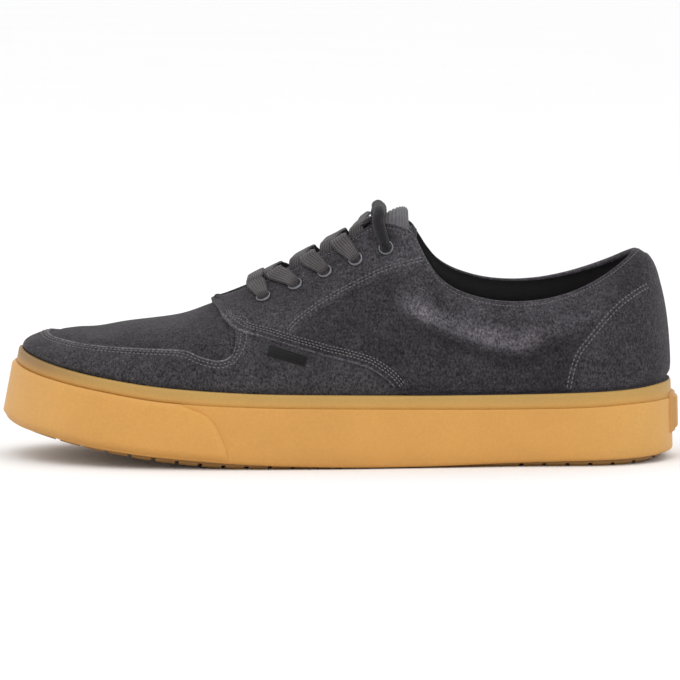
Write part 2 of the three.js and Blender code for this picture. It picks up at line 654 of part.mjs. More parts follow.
function makeUpper() {
  const columns = columnsRound();
  const count = columns.length;
  const back = FOXING_THICK + FIT_GAP + 0.1;
  const outer = upperFace(columns, outerRows, back);
  const inner = upperFace(columns, innerRows, back + LINING);
  const outerAt = (j, k) => j * count + (k % count);
  const innerAt = (j, k) => (outer.length + j) * count + (k % count);
  const triangles = [];
  const quad = (a, b, c, d) => triangles.push([a, b, c], [a, c, d]);
  const top = outer.length - 1;
  const innerTop = inner.length - 1;
  for (let k = 0; k < count; k++) {
    for (let j = 0; j < top; j++) {
      quad(outerAt(j, k), outerAt(j, k + 1), outerAt(j + 1, k + 1), outerAt(j + 1, k));
    }
    for (let j = 0; j < innerTop; j++) {
      quad(innerAt(j, k), innerAt(j + 1, k), innerAt(j + 1, k + 1), innerAt(j, k + 1));
    }
    quad(innerAt(0, k), innerAt(0, k + 1), outerAt(0, k + 1), outerAt(0, k));
    const open = Math.max(columns[k].u, columns[(k + 1) % count].u) > THROAT_SECTION;
    if (open) quad(innerAt(innerTop, k + 1), innerAt(innerTop, k), outerAt(top, k), outerAt(top, k + 1));
  }
  const shell = toSolid([...outer.flat(), ...inner.flat()], triangles);
  return shell.subtract(wasm.Manifold.union(eyeletPlaces().map(eyeletHole)));
}

// The tag lies on the guard, just under the quarter's edge.
function makeTag() {
  const steps = 6;
  const [frontTop, backTop, backLow, frontLow] = SIDE_TAG;
  const edge = (from, to, offset) => {
    const points = [];
    for (let k = 0; k <= steps; k++) {
      const x = THREE.MathUtils.lerp(from.x, to.x, k / steps);
      const z = THREE.MathUtils.lerp(from.z, to.z, k / steps);
      const { u, v } = placeOnSide(x, z, OUTER);
      points.push(offsetPoint(u, v, OUTER, offset));
    }
    return points;
  };
  const low = GUARD_STEP + FIT_GAP;
  const loops = [low, low + TAG_THICK].map((offset) => [
    ...edge(frontLow, backLow, offset),
    ...edge(frontTop, backTop, offset).reverse(),
  ]);
  return strapLoft(loops);
}

// Eyelets
function eyeletPlaces() {
  return SIDES.flatMap((side) =>
    EYELETS.map((row, i) => {
      const { u, v } = placeOnSide(row.x, row.z, OUTER);
      return {
        name: (side === OUTER ? 'eyelet_outer_' : 'eyelet_inner_') + (i + 1),
        u,
        v,
        side,
        point: offsetPoint(u, v, side, QUARTER_STEP),
        normal: upperNormal(u, v, side),
      };
    })
  );
}

function turnTo(normal, point) {
  const turn = new THREE.Quaternion().setFromUnitVectors(new THREE.Vector3(0, 1, 0), normal);
  return new THREE.Matrix4().compose(point, turn, new THREE.Vector3(1, 1, 1));
}

function eyeletHole(place) {
  const radius = EYELET.barrel + FIT_GAP;
  const geometry = new THREE.CylinderGeometry(radius, radius, 14, 16);
  geometry.applyMatrix4(turnTo(place.normal, place.point));
  return solidFrom(withoutExtras(geometry));
}

function makeEyelet(place) {
  const { hole, barrel, flange, thick } = EYELET;
  const seat = FIT_GAP;
  const depth = 2.6;
  const profile = [
    new THREE.Vector2(hole, -depth),
    new THREE.Vector2(barrel, -depth),
    new THREE.Vector2(barrel, seat),
    new THREE.Vector2(flange, seat),
    new THREE.Vector2(flange - 0.4, seat + thick),
    new THREE.Vector2(hole + 0.3, seat + thick),
    new THREE.Vector2(hole, seat + thick - 0.3),
    new THREE.Vector2(hole, -depth),
  ];
  const geometry = new THREE.LatheGeometry(profile, 14);
  geometry.applyMatrix4(turnTo(place.normal, place.point));
  return solidFrom(withoutExtras(geometry));
}

// Throat: the surface over the instep, at a distance across from the spine. Between the two edges
// of the opening it is an arch, and beyond them it is the upper's face.
function archHalf(u) {
  return Math.max(sectionAt(u).half, 0) * 1.06;
}

function instepPoint(u, across) {
  const side = across < 0 ? OUTER : INNER;
  const half = archHalf(u);
  if (Math.abs(across) >= half) {
    const length = topPoint(u, side).distanceTo(upperPoint(u, 0, side)) * 1.12;
    return upperPoint(u, 1 - Math.min((Math.abs(across) - half) / length, 1), side);
  }
  const edges = SIDES.map((edge) => {
    const top = topPoint(u, edge);
    const handle = new THREE.Vector3(0, -edge * half * 0.5, sectionAt(u).arch / 0.75);
    return { top, handle: handle.add(top) };
  });
  const arch = new THREE.CubicBezierCurve3(edges[0].top, edges[0].handle, edges[1].handle, edges[1].top);
  return arch.getPoint(0.5 + (0.5 * across) / half);
}

function instepNormal(u, across, reach) {
  const along = instepPoint(u + 0.04, across).sub(instepPoint(u - 0.04, across));
  const sideways = instepPoint(u, across + reach).sub(instepPoint(u, across - reach));
  return along.cross(sideways).normalize();
}

// A point over the instep. The crease at the throat's edge is rounded over this reach to each side.
const instepOffset = (u, across, offset, reach) =>
  instepPoint(u, across).addScaledVector(instepNormal(u, across, reach), offset);

// Tongue: a padded flap under the throat, thin in front and thick at its ribbed top.
const TONGUE = { start: 6.6, end: 17.3, swell: 14, swollen: 16.2, sink: 1.2, under: 13, thick: 3.2, top: 6.6 };

const TONGUE_REACH = 0.5;
const LACE_REACH = 4;

function makeTongue() {
  const across = 14;
  const steps = 24;
  const clear = LINING + FIT_GAP + 0.5;
  const { smoothstep, lerp } = THREE.MathUtils;
  const sections = [];
  for (let k = 0; k <= steps; k++) {
    const u = lerp(TONGUE.start, TONGUE.end, k / steps);
    const reach = archHalf(u) + TONGUE.under * lerp(0.55, 1, smoothstep(u, TONGUE.start, 10));
    const rounded = k === steps ? 0.35 : 1;
    const thick = lerp(TONGUE.thick, TONGUE.top, smoothstep(u, TONGUE.swell, TONGUE.swollen));
    const sunk = TONGUE.sink * (1 - smoothstep(u, 8, 11)) + ((1 - rounded) * thick) / 2;
    const outer = [];
    const inner = [];
    for (let j = 0; j <= across; j++) {
      const share = (2 * j) / across - 1;
      const edge = 1 - 0.75 * Math.pow(Math.abs(share), 4);
      outer.push(instepOffset(u, reach * share, -clear - sunk, TONGUE_REACH));
      inner.push(instepOffset(u, reach * share, -clear - sunk - thick * edge * rounded, TONGUE_REACH));
    }
    sections.push([...inner, ...outer.reverse()]);
  }
  return strapLoft(sections);
}

// Lace: each run lies over the instep between two eyelets. Over the throat it sinks by dip towards the
// tongue, and between its ends it rises by hump.
function laceRun(from, to, wide, thick, dip, hump) {
  const steps = 16;
  const sides = wide === thick ? 10 : 8;
  const squareness = wide === thick ? 1 : 0.5;
  const seat = QUARTER_STEP + EYELET.thick + 2 * FIT_GAP + thick / 2;
  const flat = (x) => Math.sign(x) * Math.pow(Math.abs(x), squareness);
  const place = (t) => ({
    u: THREE.MathUtils.lerp(from.u, to.u, t),
    across: THREE.MathUtils.lerp(from.across, to.across, t),
  });
  const at = (t) => {
    const { u, across } = place(t);
    const half = archHalf(u);
    const inside = 1 - THREE.MathUtils.smoothstep(Math.abs(across), 0.3 * half, half);
    return instepOffset(u, across, seat - dip * inside + hump * Math.sin(Math.PI * t), LACE_REACH);
  };
  const sections = [];
  for (let k = 0; k <= steps; k++) {
    const t = k / steps;
    const point = at(t);
    const ahead = at(Math.min(t + 0.02, 1)).sub(at(Math.max(t - 0.02, 0))).normalize();
    const { u, across } = place(t);
    const sideways = ahead.clone().cross(instepNormal(u, across, LACE_REACH)).normalize();
    const up = sideways.clone().cross(ahead).normalize();
    const ring = [];
    for (let j = 0; j < sides; j++) {
      const angle = (2 * Math.PI * (j + 0.5)) / sides;
      ring.push(
        point
          .clone()
          .addScaledVector(sideways, (flat(Math.cos(angle)) * wide) / 2)
          .addScaledVector(up, (flat(Math.sin(angle)) * thick) / 2)
      );
    }
    sections.push(ring);
  }
  return tube(sections);
}

// A solid through closed sections, with flat ends.
function tube(sections) {
  const sides = sections[0].length;
  const at = (k, j) => k * sides + (j % sides);
  const triangles = [];
  const last = sections.length - 1;
  for (let k = 0; k < last; k++) {
    for (let j = 0; j < sides; j++) {
      triangles.push([at(k, j), at(k, j + 1), at(k + 1, j + 1)], [at(k, j), at(k + 1, j + 1), at(k + 1, j)]);
    }
  }
  for (let j = 1; j < sides - 1; j++) {
    triangles.push([at(0, 0), at(0, j + 1), at(0, j)], [at(last, 0), at(last, j), at(last, j + 1)]);
  }
  const solid = toSolid(sections.flat(), triangles);
  return solid.volume() > 0 ? solid : toSolid(sections.flat(), triangles.map(([a, b, c]) => [a, c, b]));
}

// The eyelet's place on the instep surface.
function laceEnd(place) {
  const side = place.side;
  const length = topPoint(place.u, side).distanceTo(upperPoint(place.u, 0, side)) * 1.12;
  const across = archHalf(place.u) + (1 - place.v) * length;
  return { u: place.u, across: side * across };
}

// The crossings of the flat lace, joined. The last two stop inside the throat's edges.
function makeLace(places) {
  const outer = places.filter((p) => p.side === OUTER).map(laceEnd);
  const inner = places.filter((p) => p.side === INNER).map(laceEnd);
  const { wide, thick } = LACE;
  const last = EYELETS.length - 1;
  const stop = archHalf(outer[last].u) - LACE_STOP;
  outer[last] = { u: outer[last].u - LACE_EARLY, across: OUTER * stop };
  inner[last] = { u: inner[last].u - LACE_EARLY, across: INNER * stop };
  const runs = [laceRun(outer[0], inner[0], wide, thick, 1.2, 0)];
  for (let i = 0; i < last; i++) {
    runs.push(laceRun(inner[i], outer[i + 1], wide, thick, 3.4, 0));
    runs.push(laceRun(outer[i], inner[i + 1], wide, thick, 2.2, 0));
  }
  return wasm.Manifold.union(runs);
}

// The lace's top run is rolled to a cord and humps over the tongue.
function makeTopRun(places) {
  const [outer, inner] = SIDES.map((side) => laceEnd(places.filter((p) => p.side === side).at(-1)));
  return laceRun(outer, inner, TOP_CORD, TOP_CORD, 4.4, 0);
}

// Materials
const gum = new THREE.MeshStandardMaterial({ color: '#d79e56', roughness: 0.55, metalness: 0 });
const gumBand = new THREE.MeshStandardMaterial({ color: '#bf9958', roughness: 0.6, metalness: 0 });
const suede = new THREE.MeshStandardMaterial({ color: '#454346', roughness: 0.95, metalness: 0 });
const lining = new THREE.MeshStandardMaterial({ color: '#201f20', roughness: 0.95, metalness: 0 });
const laceCloth = new THREE.MeshStandardMaterial({ color: '#4f4d4f', roughness: 0.9, metalness: 0 });
const cordCloth = new THREE.MeshStandardMaterial({ color: '#2c2a2d', roughness: 0.8, metalness: 0 });
const darkMetal = new THREE.MeshStandardMaterial({ color: '#77777c', roughness: 0.35, metalness: 0.8 });
const tagCloth = new THREE.MeshStandardMaterial({ color: '#161616', roughness: 0.8, metalness: 0 });

// Assembly
const shoe = new THREE.Group();

function addPiece(name, solid, material) {
  const mesh = new THREE.Mesh(toGeometry(solid), material);
  mesh.name = name;
  shoe.add(mesh);
}

const places = eyeletPlaces();
addPiece('outsole', makeOutsole(), gum);
addPiece('foxing', makeFoxing(), gum);
addPiece('foxing_band', makeBand(), gumBand);
addPiece('toe_bumper', makeBumper(), gum);
addPiece('heel_patch', makePatch(), gum);
addPiece('upper', makeUpper(), suede);
addPiece('insole', makeInsole(), lining);
addPiece('tongue', makeTongue(), suede);
addPiece('side_tag', makeTag(), tagCloth);
for (const place of places) addPiece(place.name, makeEyelet(place), darkMetal);
addPiece('lace', makeLace(places), laceCloth);
addPiece('lace_top_run', makeTopRun(places), cordCloth);

export default shoe;
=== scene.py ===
"""The looks of a low suede skate shoe on a gum cup sole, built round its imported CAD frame."""

import bmesh
import bpy
import numpy as np
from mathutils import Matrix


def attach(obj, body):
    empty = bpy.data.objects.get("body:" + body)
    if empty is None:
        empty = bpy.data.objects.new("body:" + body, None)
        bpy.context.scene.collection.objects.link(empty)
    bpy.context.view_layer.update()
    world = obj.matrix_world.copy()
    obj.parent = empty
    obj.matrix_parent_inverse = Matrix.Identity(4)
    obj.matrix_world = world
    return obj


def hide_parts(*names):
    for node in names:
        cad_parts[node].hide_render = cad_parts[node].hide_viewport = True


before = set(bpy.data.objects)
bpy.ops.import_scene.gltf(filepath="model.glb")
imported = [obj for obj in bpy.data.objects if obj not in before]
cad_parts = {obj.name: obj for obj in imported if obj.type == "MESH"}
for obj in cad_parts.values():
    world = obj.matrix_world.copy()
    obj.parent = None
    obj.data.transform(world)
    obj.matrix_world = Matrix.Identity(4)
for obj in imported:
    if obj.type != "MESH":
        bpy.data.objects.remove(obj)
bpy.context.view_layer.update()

bl_info = {
    "name": "Suede skate shoe",
    "version": (1, 0, 0),
    "blender": (4, 5, 0),
    "location": "View3D > Sidebar > Shoe",
    "description": "Builds the visible pieces of a low suede shoe round its CAD frame",
    "category": "Add Mesh",
}

# Sizes shared with the CAD part, in millimetres
OUTER, INNER = -1, 1
FIT_GAP = 0.3
SOLE_FRONT, SOLE_BACK = -147.7, 146.5
TOE_ROUND, HEEL_ROUND = 70.0, 42.0
TOE_POWER, HEEL_POWER = 2.15, 2.2
FOXING_THICK = 3.0
BAND_STEP, BAND_THICK = 0.9, 1.5
BUMPER_THICK = 1.2
PATCH_THICK = 2.4
SPRING_START, SPRING_TOE, SPRING_POWER = -40.0, 15.6, 1.6
HEEL_BEVEL_START, HEEL_BEVEL = 116.0, 2.6
LINING = 1.4
GUARD_STEP, QUARTER_STEP = 0.9, 1.8
EYELET_HOLE, EYELET_FLANGE, EYELET_THICK = 2.1, 3.5, 0.7
LACE_STOP, LACE_EARLY = 3.0, 0.85
LAST_SECTION, THROAT_SECTION = 31, 8
HEEL_HALF, HEEL_LOW, HEEL_TOP = 14.0, 11.8, 29.4
BUMPER_LIFT, BAND_ROUND = 1.6, 1.0
FACE_LENGTH = 1.12  # length of the upper's curved face for each millimetre of its chord
CUT = 0.35  # radius of a cut edge of suede
SEAT_LIFT = 0.35  # the eyestay's relief under the eyelets
GUARD_STITCHES, QUARTER_STITCHES = (1.9, 3.5), (2.3, 3.5, 4.7)  # rows, from the cut edge
TONGUE_THICK, TONGUE_SWELL, TONGUE_DEPTH = 3.2, 3.4, 2.2
LACE_REACH, LACE_PAST, LACE_DIVE = 4.0, 0.022, 4.6
SIDE_TAG = np.array([(-30.6, 52.6), (-13.6, 47.8), (-15.2, 43.4), (-31.6, 48.2)])

# Sides of the sole by turn: degrees from the toe to the heel, middle line, half breadth, foxing
# bottom, foxing top, band top, lean of the side.
MIDDLE_LINE, HALF_BREADTH, FOXING_LOW, FOXING_TOP, BAND_TOP, LEAN = range(1, 7)
SOLE = np.array([
    (0, 6, 50, 17.6, 42.6, 48.4, 6), (10, 5.9, 50, 16.4, 41.2, 47.2, 5.6),
    (20, 5.5, 50.2, 14.4, 39.3, 45.4, 4.8), (30, 4.7, 50.5, 12.4, 37, 42.9, 3.8),
    (45, 2.9, 51.8, 8.1, 33, 38.7, 2.6), (60, 0.5, 53.2, 4.7, 28.8, 34.9, 1.8),
    (75, -1.6, 52.6, 2.1, 26.9, 32.7, 1.4), (90, -3.9, 48.1, 0.8, 26.1, 31.9, 1.2),
    (105, -4.5, 42.9, 0.7, 25.5, 31.4, 1.1), (120, -3, 40.3, 1.7, 25.1, 31.4, 1),
    (135, -1.7, 40, 2.4, 25.5, 32, 0.9), (150, -0.8, 40, 2.8, 26.6, 33, 0.8),
    (165, -0.5, 40, 3.5, 27.1, 34.4, 0.8), (180, -0.5, 40, 3.7, 27, 35, 0.8),
])

# Sections of the upper: turn of the foot, then x, half gap, height of the top, rise of the inner
# side, low handle, swell, high handle, drop, arch.
TURN, TOP_X, GAP, TOP_Z, RISE, LOW_HANDLE, SWELL, HIGH_HANDLE, DROP, ARCH = range(10)
SECTIONS = np.array([
    (0, -118, 0, 56.3, 0, 0.45, 0, 0.55, 0, 0), (12, -116.5, 0, 56.5, 0, 0.46, 0.3, 0.56, 0, 0),
    (24, -112, 0, 56.9, 0, 0.5, 0.6, 0.56, 0, 0), (35, -104.5, 0, 57.5, 0, 0.54, 0.9, 0.56, 0, 0),
    (45.5, -94, 0, 59.1, 0, 0.58, 1, 0.56, 0, 0), (55, -81.5, 0, 60.9, 0, 0.6, 1, 0.55, 0, 0),
    (63, -68.5, 0, 63.2, 0, 0.6, 1, 0.52, 0, 0), (69, -58, 0, 66.8, 0, 0.58, 1, 0.48, 0, 0),
    (72, -53.5, 0, 68.9, 0, 0.56, 1, 0.45, 0.02, 0), (74.5, -49.5, 4.2, 69.8, 0, 0.55, 1, 0.42, 0.06, 1.5),
    (78.5, -41, 7.2, 73, 0, 0.54, 1, 0.4, 0.1, 3), (83.5, -29.5, 10, 78, 0, 0.52, 1, 0.38, 0.14, 4),
    (88.5, -17, 12.6, 83.6, 0, 0.5, 1, 0.36, 0.17, 4.6), (93, -5, 14.6, 90, 0, 0.48, 0.8, 0.34, 0.19, 4.6),
    (97, 5.5, 16.2, 96.2, 0, 0.46, 0.6, 0.32, 0.2, 3.6),
    (100, 13.6, 17.8, 101.8, 0, 0.44, 0.5, 0.3, 0.22, 3.4),
    (102.2, 19.6, 19.8, 103, 0.2, 0.43, 0.4, 0.26, 0.23, 5.6),
    (104.2, 26.2, 22, 102, 0.5, 0.42, 0.3, 0.22, 0.24, 9.2),
    (106, 31.4, 23.9, 99.6, 1.2, 0.42, 0.2, 0.2, 0.25, 10),
    (107.8, 34.9, 25.3, 93.4, 2.2, 0.42, 0.1, 0.2, 0.26, 10),
    (109.6, 38.6, 26.8, 86.6, 3.2, 0.42, 0, 0.2, 0.27, 10),
    (111.8, 43.6, 28.5, 80, 4.2, 0.42, 0, 0.22, 0.27, 0),
    (115, 51.6, 30.4, 74.8, 4.7, 0.42, 0.2, 0.25, 0.26, 0),
    (120, 63.5, 31.8, 71.2, 4.7, 0.42, 0.4, 0.3, 0.25, 0),
    (125.5, 76, 32, 70, 4.7, 0.42, 0.5, 0.34, 0.24, 0),
    (131.5, 88.5, 30.9, 70.9, 4.6, 0.42, 0.6, 0.38, 0.22, 0),
    (138, 100, 28.3, 73.6, 4.2, 0.42, 0.6, 0.44, 0.19, 0),
    (145.5, 110.5, 24.2, 77.9, 3.2, 0.43, 0.5, 0.5, 0.16, 0),
    (154, 119.3, 18.4, 82.9, 1.8, 0.44, 0.3, 0.58, 0.12, 0),
    (163, 125.6, 11.2, 87.3, 0.7, 0.45, 0.1, 0.66, 0.09, 0),
    (171.5, 128.7, 4.8, 89.6, 0.1, 0.45, 0, 0.7, 0.07, 0), (180, 129.6, 0, 90.1, 0, 0.45, 0, 0.72, 0.07, 0),
])

# Middle line of the upper: x and y.
SPINE = np.array([
    (-140, 5.6), (-118, 4.4), (-90, 2.8), (-60, 1.2), (-30, 0.2), (0, 0), (140, 0),
])

# Edges of the panels by section: top of the mudguard and lower edge of the quarter, 0 to 1.
PANELS = np.array([
    (0, 0.69, 1), (1, 0.64, 1), (2, 0.53, 1), (3, 0.462, 1), (4, 0.408, 1), (5, 0.381, 1), (6, 0.35, 1),
    (6.5, 0.276, 1), (7, 0.238, 1), (7.25, 0.238, 1), (7.5, 0.242, 0.8), (7.75, 0.255, 0.63),
    (8, 0.275, 0.6), (8.25, 0.32, 0.565), (8.5, 0.39, 0.535), (8.75, 0.508, 0.508), (9, 0.488, 0.488),
    (10, 0.404, 0.404), (11, 0.302, 0.302), (12, 0.222, 0.222), (13.5, 0.142, 0.142), (14.5, 0.066, 0.066),
    (15, 0.02, 0.02), (31, 0.02, 0.02),
])

# Middle of each eyelet on the outer side: x and z.
EYELETS = np.array([
    (-32.5, 70.3), (-18.7, 75.9), (-5.7, 81.8), (7.6, 87.5), (20.4, 92.8),
])

# Rear end of the toe bumper, from its top edge down: x and z.
BUMPER_END = np.array([
    (-70, 29), (-66, 27), (-61.6, 25.6), (-57.2, 23.6), (-54, 20.4), (-51.4, 15.2), (-49, 9.4), (-47, 0),
])

# Stitched seams on the outer side, seen from that side: x and z.
EYESTAY_SEAM = np.array([
    (35.6, 86.9), (30.3, 85.7), (19.4, 82.5), (4.3, 75.1), (-8.6, 67.8), (-17.2, 61.4), (-21.6, 56.8),
])
COUNTER_SEAM = np.array([
    (96.8, 33.5), (98.5, 41.7), (101.5, 49.5), (107.2, 56.6), (112.5, 63.0), (119.1, 69.6), (127.5, 75.3),
    (132.0, 77.4),
])


# The shape of the shoe, as in the CAD part, on whole arrays
def unit(vectors):
    """Vectors divided by their lengths."""
    return vectors / np.linalg.norm(vectors, axis=-1, keepdims=True)


def bell(value, middle, width):
    """exp(-((value - middle) / width)^2)."""
    return np.exp(-(((value - middle) / width) ** 2))


def hermite(t, first, rise, start, end):
    """Cubic from first to first + rise with the slopes start and end."""
    return first + t * (start + t * (3 * rise - 2 * start - end + t * (start + end - 2 * rise)))


def bezier(t, a, b, c, d):
    """(1 - t)^3 a + 3 t (1 - t)^2 b + 3 t^2 (1 - t) c + t^3 d."""
    return (1 - t) ** 3 * a + 3 * t * (1 - t) ** 2 * b + 3 * t * t * (1 - t) * c + t ** 3 * d


def travel(points):
    """Length along a path up to each of its points."""
    return np.concatenate([[0], np.cumsum(np.linalg.norm(np.diff(points, axis=0), axis=1))])


def read_off(table, length, at):
    """The columns of a table that is given at lengths along a path, at other lengths."""
    return np.stack([np.interp(at, length, column) for column in table.T], -1)


def smooth(rows, column, place):
    """Hermite curve through the rows (key, column), with the slope of the neighbours at each row."""
    keys, values = rows[:, 0], rows[:, column]
    ahead = np.minimum(np.arange(len(keys)) + 1, len(keys) - 1)
    behind = np.maximum(np.arange(len(keys)) - 1, 0)
    slopes = (values[ahead] - values[behind]) / (keys[ahead] - keys[behind])
    place = np.asarray(place, float)
    i = np.clip(np.searchsorted(keys, place) - 1, 0, len(keys) - 2)
    span = keys[i + 1] - keys[i]
    t = np.clip((place - keys[i]) / span, 0, 1)
    return hermite(t, values[i], values[i + 1] - values[i], slopes[i] * span, slopes[i + 1] * span)


def fade(value, low, high):
    """Smoothstep from 0 at low to 1 at high: t * t * (3 - 2 t)."""
    t = np.clip((np.asarray(value, float) - low) / (high - low), 0, 1)
    return t * t * (3 - 2 * t)


def rounding(distance, length, power):
    """Share of the breadth near a rounded end: (1 - (1 - d / L)^p)^(1 / p)."""
    left = 1 - np.clip(distance, 0, length) / length
    return np.power(1 - np.power(left, power), 1 / power)


def outline(turn, side):
    """Outline of the sole: x = middle - half length * cos(turn), y = centre + side * breadth * ends."""
    x = (SOLE_FRONT + SOLE_BACK) / 2 - (SOLE_BACK - SOLE_FRONT) / 2 * np.cos(np.radians(turn))
    ends = rounding(x - SOLE_FRONT, TOE_ROUND, TOE_POWER) * rounding(SOLE_BACK - x, HEEL_ROUND, HEEL_POWER)
    return np.stack([x, smooth(SOLE, MIDDLE_LINE, turn) + side * smooth(SOLE, HALF_BREADTH, turn) * ends], -1)


def rim(turn, side, inset):
    """The outline moved inwards by inset, square to itself."""
    turn, side, inset = np.broadcast_arrays(np.asarray(turn, float), side, inset)
    step = 0.4
    at = np.clip(turn, step, 180 - step)
    along = outline(at + step, side) - outline(at - step, side)
    ends = (turn < step) | (turn > 180 - step)
    square = np.stack([np.zeros_like(turn), np.where(turn < step, side, -side)], -1)
    along = np.where(ends[..., None], square, along)
    inwards = np.stack([along[..., 1], -along[..., 0]], -1)
    inwards = unit(inwards) * side[..., None]
    return outline(turn, side) + inwards * inset[..., None]


def ground(x):
    """Height of the tread: it rises under the toe and a little under the heel."""
    toe = np.clip(SPRING_START - x, 0, None) / (SPRING_START - SOLE_FRONT)
    heel = np.clip(x - HEEL_BEVEL_START, 0, None) / (SOLE_BACK - HEEL_BEVEL_START)
    return SPRING_TOE * toe ** SPRING_POWER + HEEL_BEVEL * heel ** 2


def side_lean(turn, z):
    """How far the side of the sole leans inwards at a height."""
    low = smooth(SOLE, FOXING_LOW, turn)
    return smooth(SOLE, LEAN, turn) * np.clip((z - low) / (smooth(SOLE, BAND_TOP, turn) - low), 0, None)


def on_sole(turn, side, z, inset):
    """A point on the side of the sole at a height, inset from its face."""
    p = rim(turn, side, side_lean(turn, z) + inset)
    return np.concatenate([p, np.broadcast_to(z, p.shape[:-1])[..., None]], -1)


def section(u, column):
    """Catmull-Rom curve through one column of the sections."""
    place = np.clip(np.asarray(u, float), 0, LAST_SECTION)
    i = np.minimum(place.astype(int), LAST_SECTION - 1)
    a, b, c, d = (SECTIONS[np.clip(i + k, 0, LAST_SECTION), column] for k in (-1, 0, 1, 2))
    value = hermite(place - i, b, c - b, (c - a) / 2, (d - b) / 2)
    return np.where(place <= THROAT_SECTION, 0, np.clip(value, 0, None)) if column == GAP else value


def top_point(u, side):
    """The top of a section: the ridge in front, the edge of the throat and collar behind."""
    x = section(u, TOP_X)
    rise = np.where(side > 0, section(u, RISE), 0)
    return np.stack([x, smooth(SPINE, 1, x) + side * section(u, GAP), section(u, TOP_Z) + rise], -1)


def upper_point(u, v, side):
    """The face of the upper: a cubic Bezier curve from the foot of the section to its top, at v."""
    u, v, side = np.broadcast_arrays(np.asarray(u, float), np.asarray(v, float), side)
    turn = section(u, TURN)
    foot = rim(turn, side, smooth(SOLE, LEAN, turn) + BAND_STEP + BAND_THICK + FIT_GAP)
    foot = np.concatenate([foot, smooth(SOLE, BAND_TOP, turn)[..., None]], -1)
    top = top_point(u, side)
    height = top[..., 2] - foot[..., 2]
    out = foot[..., :2] - top[..., :2]
    width = np.linalg.norm(out, axis=-1)
    out = out / width[..., None]
    low, high = foot.copy(), top.copy()
    low[..., :2] += out * section(u, SWELL)[..., None]
    low[..., 2] += section(u, LOW_HANDLE) * height
    high[..., :2] += out * (section(u, HIGH_HANDLE) * width)[..., None]
    high[..., 2] -= section(u, DROP) * height
    ahead, behind = top_point(u + 0.05, side), top_point(np.maximum(u - 0.05, 0), side)
    climb = (ahead[..., 2] - behind[..., 2]) / (ahead[..., 0] - behind[..., 0])
    high[..., 2] += np.where(u < THROAT_SECTION, (high[..., 0] - top[..., 0]) * climb, 0)
    return bezier(v[..., None], foot, low, high, top)


def upper_normal(u, v, side):
    """The outward normal of the upper's face, from differences. On the ridge it is square to the ridge."""
    u, v, side = np.broadcast_arrays(np.asarray(u, float), np.asarray(v, float), np.asarray(side, float))
    step = 0.02
    ahead, behind = np.minimum(u + step, LAST_SECTION), np.maximum(u - step, 0)
    along = upper_point(ahead, v, side) - upper_point(behind, v, side)
    up = upper_point(u, np.minimum(v + step, 1), side) - upper_point(u, np.maximum(v - step, 0), side)
    ends = ((u < step) | (u > LAST_SECTION - step))[..., None]
    flat = np.zeros_like(along)
    flat[..., 1] = np.where(u < step, side, -side)
    normal = np.cross(np.where(ends, flat, along), up) * -side[..., None]
    ridge = top_point(u + step, side) - top_point(np.maximum(u - step, 0), side)
    upright = np.stack([-ridge[..., 2], np.zeros_like(u), ridge[..., 0]], -1)
    normal = np.where(((u <= THROAT_SECTION) & (v >= 1))[..., None], upright, normal)
    normal[..., 1] = np.where(ends[..., 0], 0, normal[..., 1])
    return unit(normal)


def on_upper(u, v, side, offset):
    """A point at a distance outside the face of the upper."""
    return upper_point(u, v, side) + upper_normal(u, v, side) * np.asarray(offset, float)[..., None]


def place_on_side(points, side=OUTER, rounds=14):
    """Newton search for the u and v of the points x, z that are seen from the side."""
    x, z = points[:, 0], points[:, 1]
    u = np.interp(x, SECTIONS[THROAT_SECTION:, TOP_X], np.arange(THROAT_SECTION, LAST_SECTION + 1))
    v, step = np.full_like(u, 0.6), 0.01
    for _ in range(rounds):
        p = upper_point(u, v, side)
        du = (upper_point(u + step, v, side) - p) / step
        dv = (upper_point(u, v - step, side) - p) / -step
        det = du[:, 0] * dv[:, 2] - dv[:, 0] * du[:, 2]
        det = np.where(np.abs(det) < 1.0, 1.0, det)
        u = u + np.clip(((x - p[:, 0]) * dv[:, 2] - dv[:, 0] * (z - p[:, 2])) / det, -2, 2)
        v = v + np.clip((du[:, 0] * (z - p[:, 2]) - (x - p[:, 0]) * du[:, 2]) / det, -0.3, 0.3)
        u, v = np.clip(u, 0, LAST_SECTION - 0.1), np.clip(v, 0.0, 0.995)
    return u, v


def guard_edge(u):
    """Top edge of the mudguard along the sections."""
    return np.clip(smooth(PANELS, 1, u), 0, 1)


def quarter_edge(u):
    """Lower front edge of the quarter along the sections."""
    return np.interp(u, PANELS[:, 0], PANELS[:, 2])


def arch_half(u):
    """Half breadth of the arch over the throat."""
    return section(u, GAP) * 1.06


def instep_point(u, across):
    """The face over the instep: an arch between the throat's edges, and the upper's face beyond them."""
    u, across = np.broadcast_arrays(np.asarray(u, float), np.asarray(across, float))
    side = np.where(across < 0, OUTER, INNER)
    half = arch_half(u)
    beyond = upper_point(u, 1 - np.clip((np.abs(across) - half) / reach_of(u, side), 0, 1), side)
    t = (0.5 + 0.5 * across / np.maximum(half, 1e-6))[..., None]
    ends = [top_point(u, edge) for edge in (OUTER, INNER)]
    lift = section(u, ARCH) / 0.75
    handles = [e + np.stack([0 * u, -s * half * 0.5, lift], -1) for e, s in zip(ends, (OUTER, INNER))]
    arch = bezier(t, ends[0], *handles, ends[1])
    return np.where((np.abs(across) < half)[..., None], arch, beyond)


def instep_normal(u, across, reach):
    """The outward normal over the instep, from points a reach apart across it."""
    along = instep_point(u + 0.04, across) - instep_point(u - 0.04, across)
    sideways = instep_point(u, across + reach) - instep_point(u, across - reach)
    normal = np.cross(along, sideways)
    return unit(normal)


def on_instep(u, across, offset, reach):
    """A point at a distance outside the instep; the crease at the throat's edge is rounded over reach."""
    return instep_point(u, across) + instep_normal(u, across, reach) * np.asarray(offset, float)[..., None]


